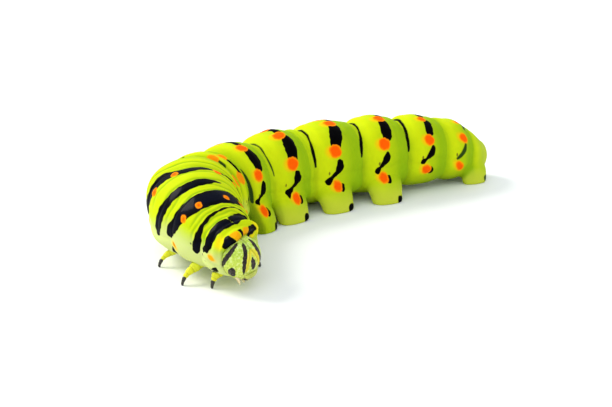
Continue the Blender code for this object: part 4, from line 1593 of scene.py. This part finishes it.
# %% [markdown]
# ## Limbs from loops
# The jointed legs, claws, antennae and feelers are all cones that swell and narrow. Each is a stack of
# rings along a curved line. A turned profile gives the joints, which is quicker and cleaner than
# sculpting them.


# %% Loops along a curved line
def limb(path, widths, around, flatten=1.0, level_end=False):
    """Points and faces of a closed limb. Widths are half widths at each point of the path."""
    path = np.asarray(path, float)
    loops = []
    for k, centre in enumerate(path):
        along = path[min(k + 1, len(path) - 1)] - path[max(k - 1, 0)]
        if level_end and k >= len(path) - 2:
            along = np.array((0.0, 0.0, -1.0))
        along = along / np.linalg.norm(along)
        side = np.cross(along, (0.13, 0.31, 0.94))
        if np.linalg.norm(side) < 0.2:
            side = np.cross(along, (0.94, 0.13, 0.31))
        side = side / np.linalg.norm(side)
        rise = np.cross(side, along)
        turn = np.linspace(0, 2 * math.pi, around, endpoint=False)[:, None]
        loops.append(centre + widths[k] * (side * np.cos(turn) + rise * np.sin(turn) * flatten))
    return closed_surface(loops)


def profile(shares, knots):
    """Half widths along a limb, smoothly through (share, half width) pairs."""
    knots = np.asarray(knots, float)
    place = np.searchsorted(knots[:, 0], shares, side="right") - 1
    place = np.clip(place, 0, len(knots) - 2)
    t = (shares - knots[place, 0]) / (knots[place + 1, 0] - knots[place, 0])
    t = np.clip(t, 0, 1)
    t = t * t * (3 - 2 * t)
    return knots[place, 1] * (1 - t) + knots[place + 1, 1] * t


def along_path(corners, steps):
    """Evenly spread points on a smooth curve through the corners."""
    fine = curved(corners, 12)
    arc = np.concatenate(((0.0,), np.cumsum(np.linalg.norm(np.diff(fine, axis=0), axis=1))))
    want = np.linspace(0, arc[-1], steps)
    return np.stack([np.interp(want, arc, fine[:, k]) for k in range(3)], -1)


print("limb helpers ready")

# %% [markdown]
# ## Jointed legs and claws
# Six short legs stand under the first three rings. Each has a stout root, two joints that show as
# creases, and a single black claw that touches the floor.

# %% Jointed legs
# Ring, share of the ring, how far ahead the toe stands, and how far out the root and the toe are in mm.
LEGS = {
    "leg_front": (0, 0.74, -0.05, 0.70, 1.66),
    "leg_middle": (1, 0.40, -0.10, 1.30, 3.00),
    "leg_hind": (2, 0.42, -0.04, 1.50, 3.15),
}
LEG_GIRTH = {"leg_front": 1.0, "leg_middle": 0.86, "leg_hind": 0.74}
LEG_HEIGHTS = (1.45, 1.02, 0.80, 0.50)
LEG_OUTWARD = (0.0, 0.38, 0.68, 0.90)
LEG_PROFILE = (
    (0.0, 0.66), (0.16, 0.60), (0.27, 0.52), (0.33, 0.46), (0.40, 0.47), (0.52, 0.40), (0.60, 0.325),
    (0.66, 0.33), (0.76, 0.285), (0.83, 0.225), (0.88, 0.23), (0.95, 0.20), (1.0, 0.13),
)
CLAW_PROFILE = ((0.0, 0.14), (0.18, 0.17), (0.5, 0.135), (0.8, 0.10), (0.95, 0.08), (1.0, 0.07))
LEG_STEPS = 60
LEG_AROUND = 32
CLAW_STEPS = 28


def leg_corners(name, side):
    """Corners of the leg's middle line, from its root in the body to the claw's root, and the toe."""
    ring, share, ahead, root_out, reach = LEGS[name]
    corners = []
    for height, part in zip(LEG_HEIGHTS, LEG_OUTWARD):
        out = root_out + (reach - root_out) * part
        corners.append(beside(ring + share + ahead * part, side * out, height))
    toe = beside(ring + share + ahead, side * reach, 0.0)
    return np.array(corners), toe


def leg_pieces(name, side):
    """One leg and its claw as two objects."""
    label = name + ("_left" if side > 0 else "_right")
    corners, toe = leg_corners(name, side)
    line = along_path(corners, LEG_STEPS)
    shares = np.linspace(0, 1, LEG_STEPS)
    widths = profile(shares, LEG_PROFILE) * LEG_GIRTH[name]
    leg = gathered(label + "_flesh", [limb(line, widths, LEG_AROUND, 0.92)])
    knee, wrist = corners[-2:]
    bend = wrist * 0.45 + toe * 0.55 + (wrist - knee) * 0.22
    claw_corners = np.array((wrist + (knee - wrist) * 0.15, wrist * 0.8 + bend * 0.2, bend, toe))
    claw_widths = profile(np.linspace(0, 1, CLAW_STEPS), CLAW_PROFILE)
    claw_line = along_path(claw_corners, CLAW_STEPS)
    claw = gathered(label + "_claw", [limb(claw_line, claw_widths, 24, 0.85, True)])
    ring, share, _, root_out, _ = LEGS[name]
    outward = beside(ring + share, side * (root_out + 0.42), 1.22)
    store(leg.data, "ink", ball_field(mesh_points(leg.data) / MM, outward, 0.40))
    share_round = np.repeat(shares, LEG_AROUND)
    store(leg.data, "share", share_round)
    store(leg.data, "arc", share_round * 2.4)
    store(leg.data, "wrap", np.tile(np.linspace(0, 3, LEG_AROUND), LEG_STEPS))
    return label, leg, claw


def leg_material():
    """Soft yellow-green with dusky joints and a dark spot at the root."""
    made, tree, shader = new_material("leg_flesh")
    height, mottle = use_fine_skin(tree, 12000.0, 5.0, 0.6, painted(tree, "arc"), painted(tree, "wrap"))
    share = painted(tree, "share")
    base = blend_colours(tree, between(tree, share, 0.2, 0.9), (0.70, 0.74, 0.03), (0.74, 0.70, 0.02))
    base = blend_colours(tree, between(tree, mottle, 0.35, 0.75, 0.0, 0.5), base, (0.52, 0.60, 0.03))
    for joint in (0.33, 0.60, 0.83):
        near = math_node(tree, "ABSOLUTE", math_node(tree, "SUBTRACT", share, joint))
        base = blend_colours(tree, between(tree, near, 0.0, 0.03, 0.30, 0.0), base, (0.20, 0.17, 0.02))
    black = between(tree, math_node(tree, "MULTIPLY_ADD", mottle, 0.10, painted(tree, "ink")), 0.02, 0.08)
    link(tree, blend_colours(tree, black, base, BLACK), shader, "Base Color")
    link(tree, math_node(tree, "MULTIPLY_ADD", mottle, 0.2, 0.34), shader, "Roughness")
    shader.inputs["Specular IOR Level"].default_value = 0.15
    roughen(tree, shader, height, 0.35, 0.00003)
    let_light_in(shader, 0.25, (0.8, 0.8, 0.2), 0.0004)
    return made


def horn_material(name, light, dark):
    """Polished horn that darkens in streaks."""
    made, tree, shader = new_material(name)
    streaks = clouds_of(tree, 5200.0, 4.0, Distortion=1.2)
    link(tree, blend_colours(tree, between(tree, streaks, 0.3, 0.7), dark, light), shader, "Base Color")
    link(tree, math_node(tree, "MULTIPLY_ADD", streaks, 0.25, 0.12), shader, "Roughness")
    roughen(tree, shader, streaks, 0.25, 0.00002)
    shader.inputs["Coat Weight"].default_value = 0.10
    return made


flesh = leg_material()
claw_horn = horn_material("claw_horn", (0.030, 0.020, 0.012), (0.004, 0.003, 0.003))
for name in LEGS:
    for side in (-1, 1):
        label, leg, claw = leg_pieces(name, side)
        leg.data.materials.append(flesh)
        claw.data.materials.append(claw_horn)
        for piece in (leg, claw):
            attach(piece, "root")
            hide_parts(label)
print("legs and claws", 2 * len(LEGS))

# %% [markdown]
# ## Mouth and antennae
# Under the face hang a notched upper lip, a pair of dark jaws, and short jointed feelers. The antennae
# are two stubby cones beside the jaws. They are tiny, but a head without them looks like a bead, so each
# is its own form.


# %% Mouth and antennae
# Sizes in mm in the head's own axes. Knots are pairs of a share of the length and a half width.
JAW_CORNERS = ((0.40, -0.26, -1.06), (0.36, -0.42, -1.20), (0.24, -0.54, -1.33), (0.07, -0.57, -1.43))
JAW_KNOTS = ((0, 0.15), (0.3, 0.18), (0.6, 0.16), (0.85, 0.12), (1, 0.05))
JAW_STEPS = 26
LIP_ACROSS = np.linspace(-1, 1, 25)
LIP_DOWN = np.linspace(0, 1, 13)
PALP_KNOTS = (
    (0, 0.15), (0.32, 0.15), (0.38, 0.115), (0.44, 0.12), (0.66, 0.11), (0.71, 0.075), (0.78, 0.08),
    (1, 0.035),
)
SPINNERET_KNOTS = ((0, 0.22), (0.5, 0.19), (0.8, 0.10), (1, 0.05))
ANTENNA_KNOTS = (
    (0, 0.15), (0.30, 0.135), (0.36, 0.10), (0.42, 0.11), (0.70, 0.09), (0.76, 0.05), (0.82, 0.055),
    (1, 0.025),
)
FEELER_STEPS = 30


def head_spot(azimuth, slope, grow):
    """A point over the shell, in the head's own axes."""
    return head_smooth(math.radians(azimuth), math.radians(slope), grow)


def jaw(side):
    """One jaw: a blunt wedge that curves in under the lip."""
    line = along_path(np.array(JAW_CORNERS) * (side, 1, 1), JAW_STEPS)
    widths = profile(np.linspace(0, 1, JAW_STEPS), JAW_KNOTS)
    points, faces = limb(line, widths, 24, 0.72)
    return into_place(points), faces


def upper_lip():
    """A small shield with a notch in its lower edge, standing off the shell."""
    front = []
    rear = []
    for down in LIP_DOWN:
        for across in LIP_ACROSS:
            azimuth = across * (33 - 6 * down)
            notch = 5.5 * hump(across, 0, 0.22) * down
            slope = -33 - 25 * down * (1 - 0.20 * across**2) + notch
            swell = 0.17 * math.sin(math.pi * (0.15 + 0.75 * down)) * (1 - 0.55 * across**4) + 0.02
            front.append(head_spot(azimuth, slope, swell))
            rear.append(head_spot(azimuth, slope, -0.05))
    points = np.array(front + rear)
    wide = len(LIP_ACROSS)
    tall = len(LIP_DOWN)
    faces = []
    for row in range(tall - 1):
        for k in range(wide - 1):
            here = row * wide + k
            faces.append((here, here + 1, here + wide + 1, here + wide))
            behind = here + len(front)
            faces.append((behind, behind + wide, behind + wide + 1, behind + 1))
    rim = list(range(wide)) + [row * wide + wide - 1 for row in range(1, tall)]
    rim += [(tall - 1) * wide + k for k in range(wide - 2, -1, -1)]
    rim += [row * wide for row in range(tall - 2, 0, -1)]
    for k, here in enumerate(rim):
        after = rim[(k + 1) % len(rim)]
        faces.append((here, here + len(front), after + len(front), after))
    return into_place(points), faces


def cone_feeler(root, tip, knots):
    """A short jointed cone from root to tip, in the head's own axes."""
    root = np.array(root)
    tip = np.array(tip)
    bend = (root + tip) / 2 + np.array((0.0, -0.03, 0.02))
    line = along_path(np.array((root, bend, tip)), FEELER_STEPS)
    points, faces = limb(line, profile(np.linspace(0, 1, FEELER_STEPS), knots), 20)
    return into_place(points), faces


jaws = gathered("jaws", [jaw(-1), jaw(1)])
lip = gathered("upper_lip", [upper_lip()])
feelers = []
for side in (-1, 1):
    feelers.append(cone_feeler((side * 0.32, -0.24, -1.20), (side * 0.37, -0.52, -1.56), PALP_KNOTS))
feelers.append(cone_feeler((0.0, -0.24, -1.22), (0.0, -0.50, -1.56), SPINNERET_KNOTS))
palps = gathered("palps", feelers)
antennae = []
for side, word in ((-1, "right"), (1, "left")):
    root = head_spot(side * 68, -44, -0.08)
    tip = root + np.array((side * -0.03, -0.24, -0.52))
    antennae.append(gathered("antenna_" + word + "_cone", [cone_feeler(root, tip, ANTENNA_KNOTS)]))
print("mouth pieces", [o.name for o in (jaws, lip, palps)])


# %% Mouth materials
def pale_horn_material(name, base, tint, granules):
    """Thin pale horn that lets light through, with dusky clouds."""
    made, tree, shader = new_material(name)
    height, mottle = use_fine_skin(tree, granules, 5.0, 0.1)
    link(tree, blend_colours(tree, between(tree, mottle, 0.35, 0.72), base, tint), shader, "Base Color")
    link(tree, math_node(tree, "MULTIPLY_ADD", mottle, 0.2, 0.32), shader, "Roughness")
    roughen(tree, shader, height, 0.3, 0.00002)
    let_light_in(shader, 0.3, (0.8, 0.6, 0.3), 0.0003)
    return made


jaws.data.materials.append(horn_material("jaw_horn", (0.090, 0.045, 0.018), (0.012, 0.007, 0.005)))
lip.data.materials.append(pale_horn_material("lip_horn", (0.56, 0.62, 0.10), (0.42, 0.46, 0.06), 15000.0))
palps.data.materials.append(pale_horn_material("palp_horn", (0.60, 0.52, 0.22), (0.34, 0.24, 0.09), 16000.0))
cream = pale_horn_material("antenna_cream", (0.84, 0.74, 0.46), (0.66, 0.50, 0.24), 14000.0)
for piece, slot in ((jaws, "horn"), (lip, "head_shell"), (palps, "antenna")):
    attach(piece, "root")
    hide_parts("mouthparts")
for piece, node in zip(antennae, ("antenna_right", "antenna_left")):
    piece.data.materials.append(cream)
    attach(piece, "root")
    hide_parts(node)
print("antennae", [o.name for o in antennae])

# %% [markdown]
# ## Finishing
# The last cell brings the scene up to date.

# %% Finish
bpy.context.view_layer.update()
